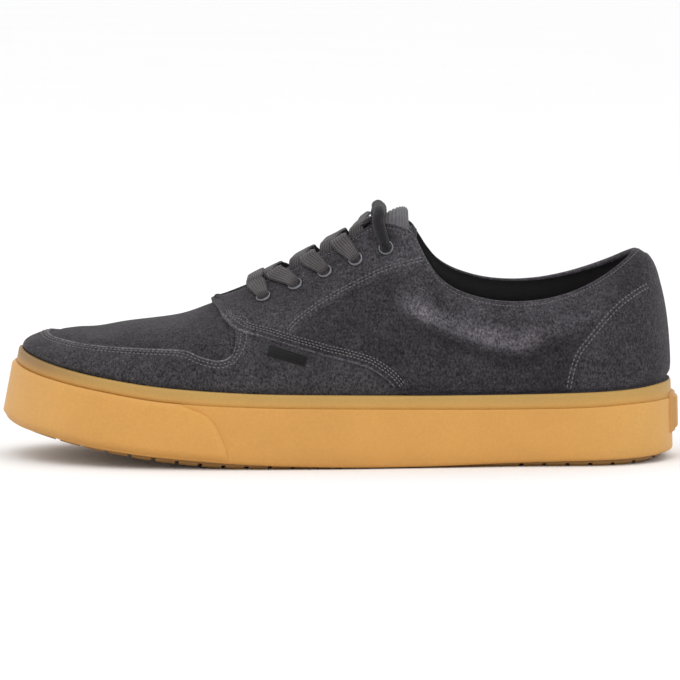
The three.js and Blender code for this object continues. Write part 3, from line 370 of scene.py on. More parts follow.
# Meshes
def linear(rgb):
    """A colour of 0 to 255 as linear light: (c / 255)^2.2."""
    return tuple((c / 255) ** 2.2 for c in rgb)


def grid_faces(rows, columns, round_rows=False, round_columns=False, flip=False):
    """Quads of a grid of points, closed round either way where asked."""
    j = np.arange(rows if round_rows else rows - 1)[:, None]
    k = np.arange(columns if round_columns else columns - 1)[None, :]
    a, b = j * columns + k, j * columns + (k + 1) % columns
    c, d = ((j + 1) % rows) * columns + (k + 1) % columns, ((j + 1) % rows) * columns + k
    quads = np.stack(np.broadcast_arrays(a, b, c, d), -1).reshape(-1, 4)
    return quads[:, ::-1] if flip else quads


def add_piece(name, parts, material, tint=None, uv=None):
    """One object from (points in millimetres, quads) parts. Its tint is a colour for each point."""
    counts = np.cumsum([0] + [len(p.reshape(-1, 3)) for p, _ in parts])
    points = np.concatenate([p.reshape(-1, 3) for p, _ in parts]) / 1000
    quads = np.concatenate([q + n for (_, q), n in zip(parts, counts)]).astype(np.int32)
    mesh = bpy.data.meshes.new(name)
    mesh.vertices.add(len(points))
    mesh.vertices.foreach_set("co", points.ravel())
    mesh.loops.add(quads.size)
    mesh.loops.foreach_set("vertex_index", quads.ravel())
    mesh.polygons.add(len(quads))
    mesh.polygons.foreach_set("loop_start", np.arange(len(quads), dtype=np.int32) * 4)
    mesh.polygons.foreach_set("use_smooth", np.ones(len(quads), bool))
    mesh.update(calc_edges=True)
    mesh.validate()
    paint = np.ones((len(points), 4))
    if tint is not None:
        tint = np.asarray(tint, float)
        paint[:, :3] = tint.reshape(-1, 3) if tint.size == 3 * len(points) else tint.reshape(-1, 1)
    layer = mesh.color_attributes.new("tint", "FLOAT_COLOR", "POINT")
    layer.data.foreach_set("color", paint.ravel())
    if uv is not None:
        table = mesh.uv_layers.new(name="along")
        corners = np.zeros(len(mesh.loops), np.int32)
        mesh.loops.foreach_get("vertex_index", corners)
        table.data.foreach_set("uv", uv.reshape(-1, 2)[corners].ravel())
    mesh.materials.append(material)
    piece = bpy.data.objects.new(name, mesh)
    bpy.context.scene.collection.objects.link(piece)
    return piece


def seat(piece, slot, *nodes):
    """The piece rides on the shoe and stands for the CAD nodes, which it hides; the slot is not used."""
    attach(piece, "root")
    if nodes:
        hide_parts(*nodes)
    return piece


# Materials
class Finish:
    """Nodes of one material: the tint of each point times a colour, with grain and bump."""

    def __init__(self, name, colour, rough, specular=0.3):
        self.material = bpy.data.materials.new(name)
        self.material.use_nodes = True
        self.tree = self.material.node_tree
        self.shader = self.tree.nodes["Principled BSDF"]
        self.shader.inputs["Roughness"].default_value = rough
        self.shader.inputs["Specular IOR Level"].default_value = specular
        self.place = self.node("ShaderNodeTexCoord").outputs["Object"]
        tint = self.node("ShaderNodeVertexColor")
        tint.layer_name = "tint"
        self.colour = self.multiply(tint.outputs["Color"], tuple(colour) + (1,))
        self.height = None

    def node(self, kind):
        return self.tree.nodes.new(kind)

    def link(self, source, target):
        self.tree.links.new(source, target)

    def multiply(self, first, second):
        mix = self.node("ShaderNodeMix")
        mix.data_type, mix.blend_type = "RGBA", "MULTIPLY"
        mix.inputs[0].default_value = 1
        self.link(first, mix.inputs[6])
        if isinstance(second, tuple):
            mix.inputs[7].default_value = second
        else:
            self.link(second, mix.inputs[7])
        return mix.outputs[2]

    def noise(self, scale, detail=3, stretch=(1, 1, 1), place=None):
        stretched = self.node("ShaderNodeMapping")
        stretched.inputs["Scale"].default_value = stretch
        self.link(place or self.place, stretched.inputs["Vector"])
        noise = self.node("ShaderNodeTexNoise")
        noise.inputs["Scale"].default_value = scale
        noise.inputs["Detail"].default_value = detail
        noise.inputs["Roughness"].default_value = 0.6
        self.link(stretched.outputs["Vector"], noise.inputs["Vector"])
        return noise.outputs["Fac"]

    def wave(self, scale, axis, place=None, warp=0.0):
        wave = self.node("ShaderNodeTexWave")
        wave.bands_direction = axis
        wave.inputs["Scale"].default_value = scale
        wave.inputs["Distortion"].default_value = warp
        self.link(place or self.place, wave.inputs["Vector"])
        return wave.outputs["Fac"]

    def vary(self, source, low, high, from_low=0.3, from_high=0.7):
        """Multiplies the colour by low to high as the source runs over its range."""
        spread = self.node("ShaderNodeMapRange")
        for key, value in (("From Min", from_low), ("From Max", from_high), ("To Min", low), ("To Max", high)):
            spread.inputs[key].default_value = value
        self.link(source, spread.inputs["Value"])
        self.colour = self.multiply(self.colour, spread.outputs["Result"])
        return self

    def bump(self, source, depth, strength=1.0):
        """Adds relief of a depth in metres."""
        bump = self.node("ShaderNodeBump")
        bump.inputs["Strength"].default_value = strength
        bump.inputs["Distance"].default_value = depth
        self.link(source, bump.inputs["Height"])
        if self.height:
            self.link(self.height, bump.inputs["Normal"])
        self.height = bump.outputs["Normal"]
        return self

    def done(self, sheen=0.0, sheen_tint=(1, 1, 1), metal=0.0):
        self.shader.inputs["Sheen Weight"].default_value = sheen
        self.shader.inputs["Sheen Roughness"].default_value = 0.45
        self.shader.inputs["Sheen Tint"].default_value = tuple(sheen_tint) + (1,)
        self.shader.inputs["Metallic"].default_value = metal
        self.link(self.colour, self.shader.inputs["Base Color"])
        if self.height:
            self.link(self.height, self.shader.inputs["Normal"])
        return self.material


def suede_finish(name, colour):
    """Suede: cloudy patches, brushed streaks and a fine short nap."""
    f = Finish(name, colour, 0.95, 0.12)
    nap = f.noise(2600, 4)
    f.vary(f.noise(60, 3), 0.78, 1.24).vary(f.noise(480, 5, (0.7, 1, 1)), 0.74, 1.3)
    f.vary(f.noise(1150, 4, (1, 1, 0.7)), 0.3, 1.9).vary(nap, 0.5, 1.6)
    f.bump(f.noise(420, 3), 0.0003, 0.6).bump(nap, 0.00025, 0.8)
    return f.done(0.1, (0.8, 0.78, 0.8))


def cloth_finish(name, colour, pitch, sheen=0.1):
    """Woven cloth: crossing threads of a pitch in metres."""
    f = Finish(name, colour, 0.9, 0.2)
    across, along = f.wave(0.5 / pitch, "X"), f.wave(0.5 / pitch, "Z")
    f.vary(across, 0.8, 1.15, 0, 1).vary(along, 0.8, 1.15, 0, 1).vary(f.noise(300, 3), 0.88, 1.12)
    f.bump(across, 0.00012, 0.6).bump(along, 0.00012, 0.6)
    return f.done(sheen)


def lace_finish(name, colour, ribs):
    """Flat woven lace: ribs run along it, crossed by a fine slant, from its own UV map."""
    f = Finish(name, colour, 0.88, 0.2)
    table = f.node("ShaderNodeUVMap")
    table.uv_map = "along"
    ribs = f.wave(ribs, "X", table.outputs["UV"], 0.8)
    slant = f.wave(0.6, "DIAGONAL", table.outputs["UV"], 0.4)
    f.vary(ribs, 0.55, 1.25, 0, 1).vary(slant, 0.9, 1.06, 0, 1).vary(f.noise(1500, 3), 0.75, 1.25)
    f.vary(f.noise(150, 2), 0.8, 1.2)
    f.bump(ribs, 0.0003, 0.7).bump(slant, 0.00015, 0.5)
    return f.done(0.15)


def gum_finish(name, colour):
    """Gum rubber: a soft cloudy colour and a faint moulded grain."""
    f = Finish(name, colour, 0.52, 0.4)
    f.vary(f.noise(26, 3), 0.95, 1.05).vary(f.noise(900, 4), 0.95, 1.05)
    f.bump(f.noise(900, 3), 0.00004, 0.5).bump(f.noise(160, 2), 0.0001, 0.3)
    return f.done()


def thread_finish(name, colour):
    """Stitching thread, its colour a little mottled."""
    f = Finish(name, colour, 0.75, 0.3)
    f.vary(f.noise(3500, 2), 0.75, 1.2)
    return f.done(0.2)


def metal_finish(name, colour):
    """Dark plated metal, a little rubbed."""
    f = Finish(name, colour, 0.24, 0.5)
    f.vary(f.noise(1200, 3), 0.85, 1.12).bump(f.noise(1500, 2), 0.00003, 0.4)
    return f.done(metal=0.9)


# Places on the upper
def reach_of(u, side=OUTER):
    """Length of the upper's face from foot to top, in millimetres."""
    u = np.asarray(u, float)
    return np.linalg.norm(top_point(u, side) - upper_point(u, np.zeros_like(u), side), axis=-1) * FACE_LENGTH


def below_edge(u, v, side=OUTER):
    """Distance from the top edge of the upper, down its face."""
    return reach_of(u, side) * (1 - v)


def seam_distance(u, v, seam_x, seam_z):
    """Signed distance, seen from the side, behind a seam that is given as x along z."""
    p = upper_point(u, v, OUTER)
    order = np.argsort(seam_z)
    return p[..., 0] - np.interp(p[..., 2], seam_z[order], seam_x[order])


def pad_relief(u, v, side):
    """Relief of the quarter: the padded collar swells, a trough runs under it, and the heel cup is raised."""
    d = below_edge(u, v, side)
    collar = fade(u, 17.6, 20.5) * (1 - 0.75 * fade(u, 25.5, 29))
    pad = 2.1 * np.sin(np.pi * np.clip(d / 26, 0, 1)) ** 1.3 * collar
    trough = -1.2 * bell(d, 25.5, 3.6) * collar * (1 - fade(u, 24, 26.5))
    fold = 0.25 * np.sin(u * 2.1 + 0.5) * bell(d, 15, 7) * collar * (1 - fade(u, 26, 28))
    cup = 0.55 * fade(seam_distance(u, v, COUNTER_SEAM[:, 0], COUNTER_SEAM[:, 1]), -0.4, 0.4)
    cup = cup * fade(d, 6.5, 8.0)
    stay = np.where(u < 19.5, SEAT_LIFT, 0.0) * fade(eyestay_height(u, v), -0.5, 0.4)
    return pad + trough + fold + cup + stay


def eyestay_height(u, v):
    """Height above the eyestay's seam, seen from the side."""
    p = upper_point(u, v, OUTER)
    order = np.argsort(EYESTAY_SEAM[:, 0])
    return p[..., 2] - np.interp(p[..., 0], EYESTAY_SEAM[order, 0], EYESTAY_SEAM[order, 1])


def beside(u, v, side, distance):
    """The curve u, v moved square to itself over the face by a distance in millimetres."""
    step = 0.01
    low, high = np.clip(v - step, 0, 1), np.clip(v + step, 0, 1)
    du = (upper_point(u + step, v, side) - upper_point(u - step, v, side)) / (2 * step)
    dv = (upper_point(u, high, side) - upper_point(u, low, side)) / (high - low)[..., None]
    tangent = du * np.gradient(u)[..., None] + dv * np.gradient(v)[..., None]
    across = unit(np.cross(upper_normal(u, v, side), tangent))
    e, f, g = (du * du).sum(-1), (du * dv).sum(-1), (dv * dv).sum(-1)
    a, b = (across * du).sum(-1), (across * dv).sum(-1)
    det = e * g - f * f
    shift = -side * distance
    moved_u = np.clip(u + shift * (a * g - b * f) / det, 0.01, LAST_SECTION - 0.01)
    return moved_u, np.clip(v + shift * (b * e - a * f) / det, 0, 1)


def evenly(points, pitch):
    """Even steps of a pitch along a path: the length along it, point and direction at each middle."""
    length = travel(points)
    count = max(int(length[-1] / pitch), 2)
    at = (np.arange(count) + 0.5) * length[-1] / count
    way = read_off(points, length, at + 0.2) - read_off(points, length, at - 0.2)
    return at, read_off(points, length, at), unit(way)


def stitch_parts(points, normals, pitch, long, thick, slant=0.0):
    """A row of stitches: each is a capsule, radius * sqrt(1 - s^4) round its own line, sunk at its ends."""
    at, place, way = evenly(points, pitch)
    up = unit(read_off(normals, travel(points), at))
    side = np.cross(up, way)
    way = unit(way + slant * side)
    s, angle = np.linspace(-1, 1, 6)[:, None], np.linspace(0, 2 * np.pi, 7)[None, :-1]
    radius = thick / 2 * np.sqrt(np.clip(1 - s ** 4, 0.02, 1))
    spans = (
        (way, s * long / 2 + 0 * angle),
        (side, radius * np.cos(angle)),
        (up, radius * np.sin(angle) - 0.3 * thick * s ** 2),
    )
    body = sum((axis[:, None, None] * span[..., None] for axis, span in spans), place[:, None, None])
    quads = grid_faces(*body.shape[1:3], round_columns=True)
    first = np.arange(len(place)) * body.shape[1] * body.shape[2]
    return body, (quads[None] + first[:, None, None]).reshape(-1, 4)


def join(parts):
    """One part from several."""
    counts = np.cumsum([0] + [p.reshape(-1, 3).shape[0] for p, _ in parts])
    return (
        np.concatenate([p.reshape(-1, 3) for p, _ in parts]),
        np.concatenate([q + n for (_, q), n in zip(parts, counts)]),
    )


# Sole
def sole_loop():
    """Turn and side of the columns round the sole, from the toe along the outer side and back."""
    steps = 260
    t = np.linspace(0, 180, steps + 1)
    return np.concatenate([t[:-1], t[:0:-1]]), np.concatenate([np.full(steps, OUTER), np.full(steps, INNER)])


def sole_strip(profile):
    """A closed band round the sole: profile rows of (share from foxing bottom to top, lift, inset)."""
    turn, side = sole_loop()
    low, top = smooth(SOLE, FOXING_LOW, turn), smooth(SOLE, FOXING_TOP, turn)
    rows = [on_sole(turn, side, low + share * (top - low) + lift, inset) for share, lift, inset in profile]
    return np.stack(rows), grid_faces(len(rows), len(turn), True, True)


def rounded(share, lift, inset, radius, start, end, steps=6):
    """Rows of a rounded edge: an arc round (lift, inset) from one angle to the other."""
    angles = np.radians(np.linspace(start, end, steps))
    return [(share, lift + radius * np.sin(a), inset - radius * np.cos(a)) for a in angles]


def wall_tint(points, wall):
    """Colour over the gum wall: paler at the toe and heel, a little deeper at the waist and low down."""
    x, z = points[..., 0], points[..., 2]
    toe, heel = fade(-x, 95, 146), fade(x, 90, 146)
    low = 1 - fade(z - ground(x), 0, 9)
    red = 1 + 0.05 * heel - 0.10 * low
    green = 1 + 0.07 * toe + 0.13 * heel - 0.13 * low
    blue = 1 + 0.32 * toe + 0.28 * heel - 0.16 * low
    return np.stack([red, green, blue], -1) * wall


def band_tint(points):
    """Colour over the upper band: olive-tan, with painted shade that makes it darker and browner round the toe,
    blending into the wall at its foot.
    """
    x = points[..., 0]
    # toe: painted shade that darkens the band round the toe.
    toe = fade(-x, 96, 140)
    tint = np.stack([1 - 0.40 * toe, 1 - 0.42 * toe, 1 - 0.22 * toe], -1)
    wall = np.array([1.33, 1.10, 0.94])
    for row, share in ((1, 0.9), (2, 0.9), (3, 0.45), (4, 0.12)):
        tint[row] = tint[row] * (1 - share) + wall * share
    return tint


def foxing_part():
    """The foxing: a strip round the sole, rounded at its lower edge and a little at its top."""
    top_round, low_round = 0.45, 1.6
    rows = [(1, 0, 3), (0, 0, 3)]
    rows += rounded(0, low_round, low_round, low_round, -90, 0)
    rows += [(s, 0, 0) for s in (0.2, 0.35, 0.5, 0.65, 0.8, 0.92)]
    rows += rounded(1, -top_round, top_round, top_round, 0, 90)
    return sole_strip(rows)


def band_part():
    """The band above the foxing: from the foxing's top to its own, its top edge rounded."""
    turn, side = sole_loop()
    low, top = smooth(SOLE, FOXING_TOP, turn) + 0.05, smooth(SOLE, BAND_TOP, turn)
    back = BAND_STEP + BAND_THICK
    face = BAND_STEP / 3
    rows = [(top, back), (low, back), (low, face)]
    rows += [(low + (top - low) * s, face) for s in (0.3, 0.6)]
    for a in np.radians(np.linspace(0, 90, 5)):
        rows.append((top - BAND_ROUND + BAND_ROUND * np.sin(a), face + BAND_ROUND - BAND_ROUND * np.cos(a)))
    points = np.stack([on_sole(turn, side, z, inset) for z, inset in rows])
    return points, grid_faces(len(rows), len(turn), True, True)


def bumper_part():
    """The toe bumper: a tape on the foxing that ends behind the toe in a curve, the same on both sides."""
    ends = BUMPER_END[::-1]
    rows = np.linspace(0, 1, 17)
    across = np.linspace(-1, 1, 361)
    side = np.where(across < 0, OUTER, INNER)
    turn = np.zeros((len(rows), len(across)))
    for _ in range(6):
        low, top = smooth(SOLE, FOXING_LOW, turn), smooth(SOLE, FOXING_TOP, turn)
        z = low + BUMPER_LIFT + rows[:, None] * (top - low - BUMPER_LIFT)
        stop_x = np.interp(z, ends[:, 1], ends[:, 0])
        middle, half = (SOLE_FRONT + SOLE_BACK) / 2, (SOLE_BACK - SOLE_FRONT) / 2
        stop = np.degrees(np.arccos(np.clip((middle - stop_x) / half, -1, 1)))
        turn = np.abs(across)[None, :] * stop
    face = -(FIT_GAP + BUMPER_THICK)
    edge = np.minimum(np.minimum(rows[:, None], 1 - rows[:, None]) * 22, (1 - np.abs(across))[None, :] * 70)
    round_off = BUMPER_THICK * (1 - np.sqrt(1 - (1 - np.clip(edge / 1.3, 0, 1)) ** 2))
    front = on_sole(turn, side[None, :], z, face + round_off)
    behind = on_sole(turn, side[None, :], z, 0.2 + 0 * turn)
    return plate(front, behind, flip=True)


def plate(front, behind, flip=False):
    """A closed plate: two facing grids of one size and the rim between them."""

    def ring(grid):
        return np.concatenate([grid[0], grid[1:, -1], grid[-1, -2::-1], grid[-2:0:-1, 0]])

    shape, loops = front.shape[:2], np.stack([ring(front), ring(behind)])
    return join([
        (front, grid_faces(*shape, flip=flip)),
        (behind, grid_faces(*shape, flip=not flip)),
        (loops, grid_faces(2, loops.shape[1], round_columns=True, flip=not flip)),
    ])


def on_heel(y, z, inset):
    """A point on the heel of the sole at y and z, by bisection along the outline."""
    middle = smooth(SOLE, MIDDLE_LINE, 180.0)
    side = np.where(y < middle, OUTER, INNER)
    low, high = np.full(y.shape, 120.0), np.full(y.shape, 180.0)
    for _ in range(26):
        turn = (low + high) / 2
        wide = np.abs(rim(turn, side, inset)[..., 1] - middle) > np.abs(y - middle)
        low, high = np.where(wide, turn, low), np.where(wide, high, turn)
    return on_sole(high, side, z, inset)


def patch_part():
    """The heel patch: a stepped plate with rounded corners on the heel of the foxing."""
    s, t = np.meshgrid(np.linspace(-1, 1, 49), np.linspace(-1, 1, 33))
    y = HEEL_HALF * s + smooth(SOLE, MIDDLE_LINE, 180.0)
    z = (HEEL_LOW + HEEL_TOP) / 2 + (HEEL_TOP - HEEL_LOW) / 2 * t
    edge = np.minimum((1 - np.abs(s)) * HEEL_HALF, (1 - np.abs(t)) * (HEEL_TOP - HEEL_LOW) / 2)
    raised = 1.1 * fade(edge, 0, 0.5) + 1.2 * fade(edge, 1.7, 2.4)
    return plate(on_heel(y, z, -(FIT_GAP + raised)), on_heel(y, z, FIT_GAP + 0 * raised))


# Upper
def side_part(u, rows, side):
    """A sheet on one side of the upper: rows of (v, offset) along the sections u."""
    points = np.stack([on_upper(u, v, side, offset + 0 * u) for v, offset in rows])
    return points, grid_faces(len(rows), len(u), flip=side == INNER)


def with_skirt(part, where, side):
    """Adds a row under the first one, which runs down behind the band of the sole where asked."""
    foot = part[0][:1].copy()
    foot[..., 2] -= np.where(where, 3.0, 0.05)
    points = np.concatenate([foot, part[0]])
    return points, grid_faces(len(points), points.shape[1], flip=side == INNER)


def both_sides(make):
    """The parts of the outer and the inner side as one."""
    return join([make(OUTER), make(INNER)])


def weld(piece):
    """Joins the points that meet on the ridge, at the toe and at the heel."""
    work = bmesh.new()
    work.from_mesh(piece.data)
    bmesh.ops.remove_doubles(work, verts=work.verts, dist=2e-5)
    work.to_mesh(piece.data)
    work.free()
    piece.data.polygons.foreach_set("use_smooth", np.ones(len(piece.data.polygons), bool))
    return piece


def toe_panel_part(side):
    """The toe panel runs from under the mudguard to the ridge, and back under the quarter."""
    u = np.concatenate([np.linspace(0, 6, 150)[:-1], np.linspace(6, 9.3, 90)])
    low = np.maximum(guard_edge(u) - 0.07, 0.0)
    low = np.where(u > 8.6, quarter_edge(u) - 0.05, low)
    high = np.clip(quarter_edge(u) + 0.12, 0, 1)
    rows = []
    for t in np.linspace(0, 1, 61):
        v = low + (high - low) * t
        wave = 0.16 * np.sin(u * 2.3 + 5 * v) * np.sin(9 * v) * fade(u, 1, 3)
        rows.append((v, -0.15 + wave - 0.35 * bell((v - guard_edge(u)) * reach_of(u, side), 2.5, 2.2)))
    return side_part(u, rows, side)


def guard_top(u):
    """Top of the mudguard: its edge as far as the lobe, and then under the quarter."""
    return guard_edge(u) + 0.04 * fade(u, 8.55, 8.9)


def guard_part(side):
    """The mudguard, from the sole to its cut edge, which is rounded and closed down to the toe panel."""
    u = np.concatenate([np.linspace(0, 5.5, 170)[:-1], np.linspace(5.5, 9.5, 200)[:-1], np.linspace(9.5, 15.5, 80)])
    edge, length = guard_top(u), reach_of(u, side)
    rows = []
    for t in np.linspace(0, 1, 46):
        v = np.maximum(edge - CUT / length, 0.001) * t
        d = (edge - v) * length
        pull = sum(-0.22 * bell(d, row, 0.5) for row in GUARD_STITCHES)
        kink = -0.35 * bell(u, 4.9, 0.09) * bell(d, 6, 6)
        rows.append((v, GUARD_STEP * np.clip(v / 0.05, 0, 1) + (pull + kink) * fade(v, 0.02, 0.08)))
    for a in np.radians(np.linspace(20, 90, 5)):
        rows.append((edge - CUT / length * (1 - np.sin(a)), GUARD_STEP - CUT * (1 - np.cos(a))))
    rows.append((edge + 0.15 / length, 0.1))
    rows.append((edge + 0.05 / length, -0.5))
    return with_skirt(side_part(u, rows, side), True, side)


def quarter_sections():
    """Places of the quarter's columns along the sections."""
    return np.concatenate([np.linspace(7.26, 9.2, 120)[:-1], np.linspace(9.2, LAST_SECTION, 270)])


def quarter_part(side):
    """The quarter, eyestay, padded collar and heel cup, from the cut front edge to the throat and collar."""
    u = quarter_sections()
    edge = np.where(u > 15, 0.02 * (16 - np.clip(u, 15, 16)), quarter_edge(u))
    length = reach_of(u, side)
    share = fade((1 - edge) * length, 1.5, 8)
    cut = np.minimum(CUT / length, (1 - edge) / 3)
    rows = [(np.clip(edge - 0.1 / length, 0, 1), -0.4), (np.clip(edge - 0.15 / length, 0, 1), 0.7 * share)]
    for a in np.radians(np.linspace(90, 20, 5)):
        rows.append((edge + cut * (1 - np.sin(a)), (QUARTER_STEP - CUT * (1 - np.cos(a))) * share + 0.2 * (1 - share)))
    for t in np.linspace(0, 1, 110):
        v = edge + cut + (1 - edge - cut) * t
        d = (v - edge) * length
        front = 1 - fade(u, 15, 16)
        pull = sum(-0.2 * bell(d, row, 0.45) for row in QUARTER_STITCHES) * front * fade(u, 9, 9.8)
        foot = np.clip(v / 0.05, 0, 1)
        rows.append((v, QUARTER_STEP * share * foot + pull + pad_relief(u, v, side) * fade(v, 0.02, 0.1) * share))
    return with_skirt(side_part(u, rows, side), u > 15, side)


def roll_part(side):
    """The turned edge of the throat and collar: half a ring from the outer face to the lining."""
    u = np.concatenate([np.linspace(8.02, 10, 60)[:-1], np.linspace(10, LAST_SECTION, 420)])
    top = upper_point(u, np.ones_like(u), side)
    normal = upper_normal(u, np.ones_like(u), side)
    up = unit(top - upper_point(u, np.full_like(u, 0.97), side))
    middle, radius = (QUARTER_STEP - LINING) / 2, (QUARTER_STEP + LINING) / 2
    rows = []
    for a in np.radians(np.linspace(0, 180, 15)):
        rows.append(top + normal * (middle + radius * np.cos(a)) + up * (0.62 * radius * np.sin(a)))
    return np.stack(rows), grid_faces(15, len(u), flip=side == INNER)


def lining_part(side):
    """The lining: inside the upper from the turned edge to the insole, padded behind the collar."""
    u = np.concatenate([np.linspace(0, 10, 160)[:-1], np.linspace(10, LAST_SECTION, 260)])
    length = reach_of(u, side)
    rows = []
    for t in np.linspace(1, 0.0, 60):
        v = np.full_like(u, t)
        d = (1 - t) * length
        pad = 2.2 * np.sin(np.pi * np.clip(d / 24, 0, 1)) ** 2 * fade(u, 18, 21)
        rows.append((v, -LINING - pad))
    points, quads = side_part(u, rows, side)
    foot = points[-1].copy()
    foot[:, 2] -= 12
    return np.concatenate([points, foot[None]]), grid_faces(61, len(u), flip=side == INNER)


def raw_edge(part, rows, low, high, shade, columns=None):
    """Tint of a panel's points: its cut edge, given by rows of the grid, shows the paler inside of the hide."""
    tint = np.ones(len(part[0]))
    grid = tint.reshape(2, rows, -1)
    grid[:, low:high, :columns] = shade
    return tint


def tint_of(points):
    """Cloudy light and dark over the suede."""
    x, z = points[..., 0], points[..., 2]
    return 1 + 0.05 * np.sin(x / 9.1 + z / 7.3) * np.sin(z / 11.9 - x / 23.0)


def quarter_tint(points):
    """Colour of the quarter: the eyestay and heel cup are lighter; a highlight is painted along the crown of the
    padded collar, with painted light on the pad above it and painted shade in the trough below it.
    """
    x, z = points[..., 0], points[..., 2]
    stay = np.argsort(EYESTAY_SEAM[:, 0])
    above = z - np.interp(x, EYESTAY_SEAM[stay, 0], EYESTAY_SEAM[stay, 1])
    cup = x - np.interp(z, COUNTER_SEAM[:, 1], COUNTER_SEAM[:, 0])
    # These two rows trace the painted highlight along the crown of the padded collar: x and its height z.
    collar_x = np.array([20, 28.6, 40, 52, 65, 77, 84, 92, 105, 118])
    highlight_z = np.array([73, 69, 63.5, 58.8, 54.4, 52.6, 53.6, 57.4, 61, 65])
    over = z - np.interp(x, collar_x, highlight_z)
    # crown is a painted highlight along the padded collar.
    crown = bell(over, 0, np.where(over > 0, 5.0, 2.6)) * fade(x, 22, 36) * (1 - 0.75 * fade(x, 76, 90))
    # The added term paints light over the upward-facing top of the pad, above the highlight.
    crown = crown * (1 - fade(x, 100, 118)) + 0.24 * fade(over, -1, 4) * fade(x, 18, 30) * (1 - fade(x, 110, 126))
    # under is painted shade in the trough beneath the padded collar.
    under = bell(over, -6.5, 3.2) * fade(x, 26, 40) * (1 - fade(x, 84, 100))
    tint = 0.92 + 0.42 * fade(above, -0.6, 0.6) * (1 - fade(x, 36, 40)) + 0.26 * fade(cup, -0.6, 0.6)
    return tint_of(points) * (tint + 2.1 * crown - 0.28 * under)


# Tongue and laces
def tongue_part():
    """The tongue: a padded flap. Its outer face is on_instep(u, reach * s, ribs + crown - depth - sunk)."""
    u = np.concatenate([np.linspace(6.6, 14, 90)[:-1], np.linspace(14, 18.3, 190)])
    u, s = np.meshgrid(u, np.linspace(-1, 1, 65), indexing="ij")
    reach = arch_half(u) + 13 * (0.55 + 0.45 * fade(u, 6.6, 10))
    end = np.sqrt(np.clip(1 - np.clip(u - 17.3, 0, None) ** 2, 0.06, 1))
    pad = TONGUE_THICK + TONGUE_SWELL * fade(u, 14, 16.2)
    sunk = 1.2 * (1 - fade(u, 8, 11)) + pad * (1 - end) / 2
    ribs = 0.42 * (np.abs(np.sin(u * 12.5)) - 0.5) * fade(u, 15.1, 15.3) * (1 - np.abs(s) ** 8)
    crown = 0.5 * np.cos(s * np.pi / 2) * fade(u, 14, 16)
    outer = on_instep(u, reach * s, -TONGUE_DEPTH - sunk + ribs + crown, 0.6)
    inner = on_instep(u, reach * s, -TONGUE_DEPTH - sunk - pad * end * (1 - 0.75 * np.abs(s) ** 4), 0.6)
    return plate(outer, inner)


def eyelet_places():
    """The u and v of the eyelets, the same on both sides."""
    return place_on_side(EYELETS)


def lace_path(start, finish, seat, dip, dive=(True, True), under=False):
    """Middle line, sideways and upward directions of a run between two places (u, across) on the instep.

    It lies seat above the instep, and dip lower in the middle. It dives into an eyelet at the ends that
    dive names, and with under it comes from beneath the throat's edge."""
    if under:
        start = (start[0] + 0.12, np.sign(start[1]) * (arch_half(start[0]) + 3.0))
    longer = [f + (f - s) * LACE_PAST * dive[1] for s, f in zip(start, finish)]
    start = [s - (f - s) * LACE_PAST * (dive[0] and not under) for s, f in zip(start, finish)]
    finish = longer
    t = 0.5 - 0.5 * np.cos(np.linspace(0, np.pi, 140))
    u, across = start[0] + (finish[0] - start[0]) * t, start[1] + (finish[1] - start[1]) * t
    half = arch_half(u)
    inside = 1 - fade(np.abs(across), 0.3 * half, half)
    offset = seat - dip * inside
    if under:
        beneath = fade(across * np.sign(start[1]), 0.45 * half, half + 0.6)
        offset = offset * (1 - beneath) - 1.9 * beneath
    points = on_instep(u, across, offset, LACE_REACH)
    for _ in range(3):
        points[1:-1] = (points[:-2] + 2 * points[1:-1] + points[2:]) / 4
    normal = instep_normal(u, across, LACE_REACH)
    for end, deep in zip((0, -1), dive):
        if deep:
            away = np.linalg.norm(points - points[end], axis=1)
            points = points - normal * (LACE_DIVE * (1 - fade(away, 0.0, 2.4)))[:, None]
    way = unit(np.gradient(points, axis=0))
    sideways = unit(np.cross(way, normal))
    return points, sideways, np.cross(sideways, way)


def strand_part(path, wide, thick, squareness=0.45):
    """A strand along a path: a superellipse |cos|^q * wide / 2, |sin|^0.8 * thick / 2 square to it."""
    points, sideways, up = path
    angle = np.linspace(0, 2 * np.pi, 29)[:-1]
    w = np.sign(np.cos(angle)) * np.abs(np.cos(angle)) ** squareness
    h = np.sign(np.sin(angle)) * np.abs(np.sin(angle)) ** 0.8
    rows = points[:, None] + sideways[:, None] * (wide[:, None] / 2 * w)[..., None]
    rows = rows + up[:, None] * (thick[:, None] / 2 * h)[..., None]
    uv = np.stack(np.broadcast_arrays((w * wide.max() / 2)[None, :], travel(points)[:, None]), -1)
    start, finish = (np.broadcast_to(points[end], rows[:1].shape) for end in (0, -1))
    whole = np.concatenate([start, rows, finish])
    uv = np.concatenate([uv[:1], uv, uv[-1:]])
    return (whole, grid_faces(len(whole), len(angle), round_columns=True)), uv


def lace_seat(thick):
    """Height of the middle of a lace where it lies on the quarter and its eyelets."""
    return QUARTER_STEP + EYELET_THICK + 2 * FIT_GAP + thick / 2


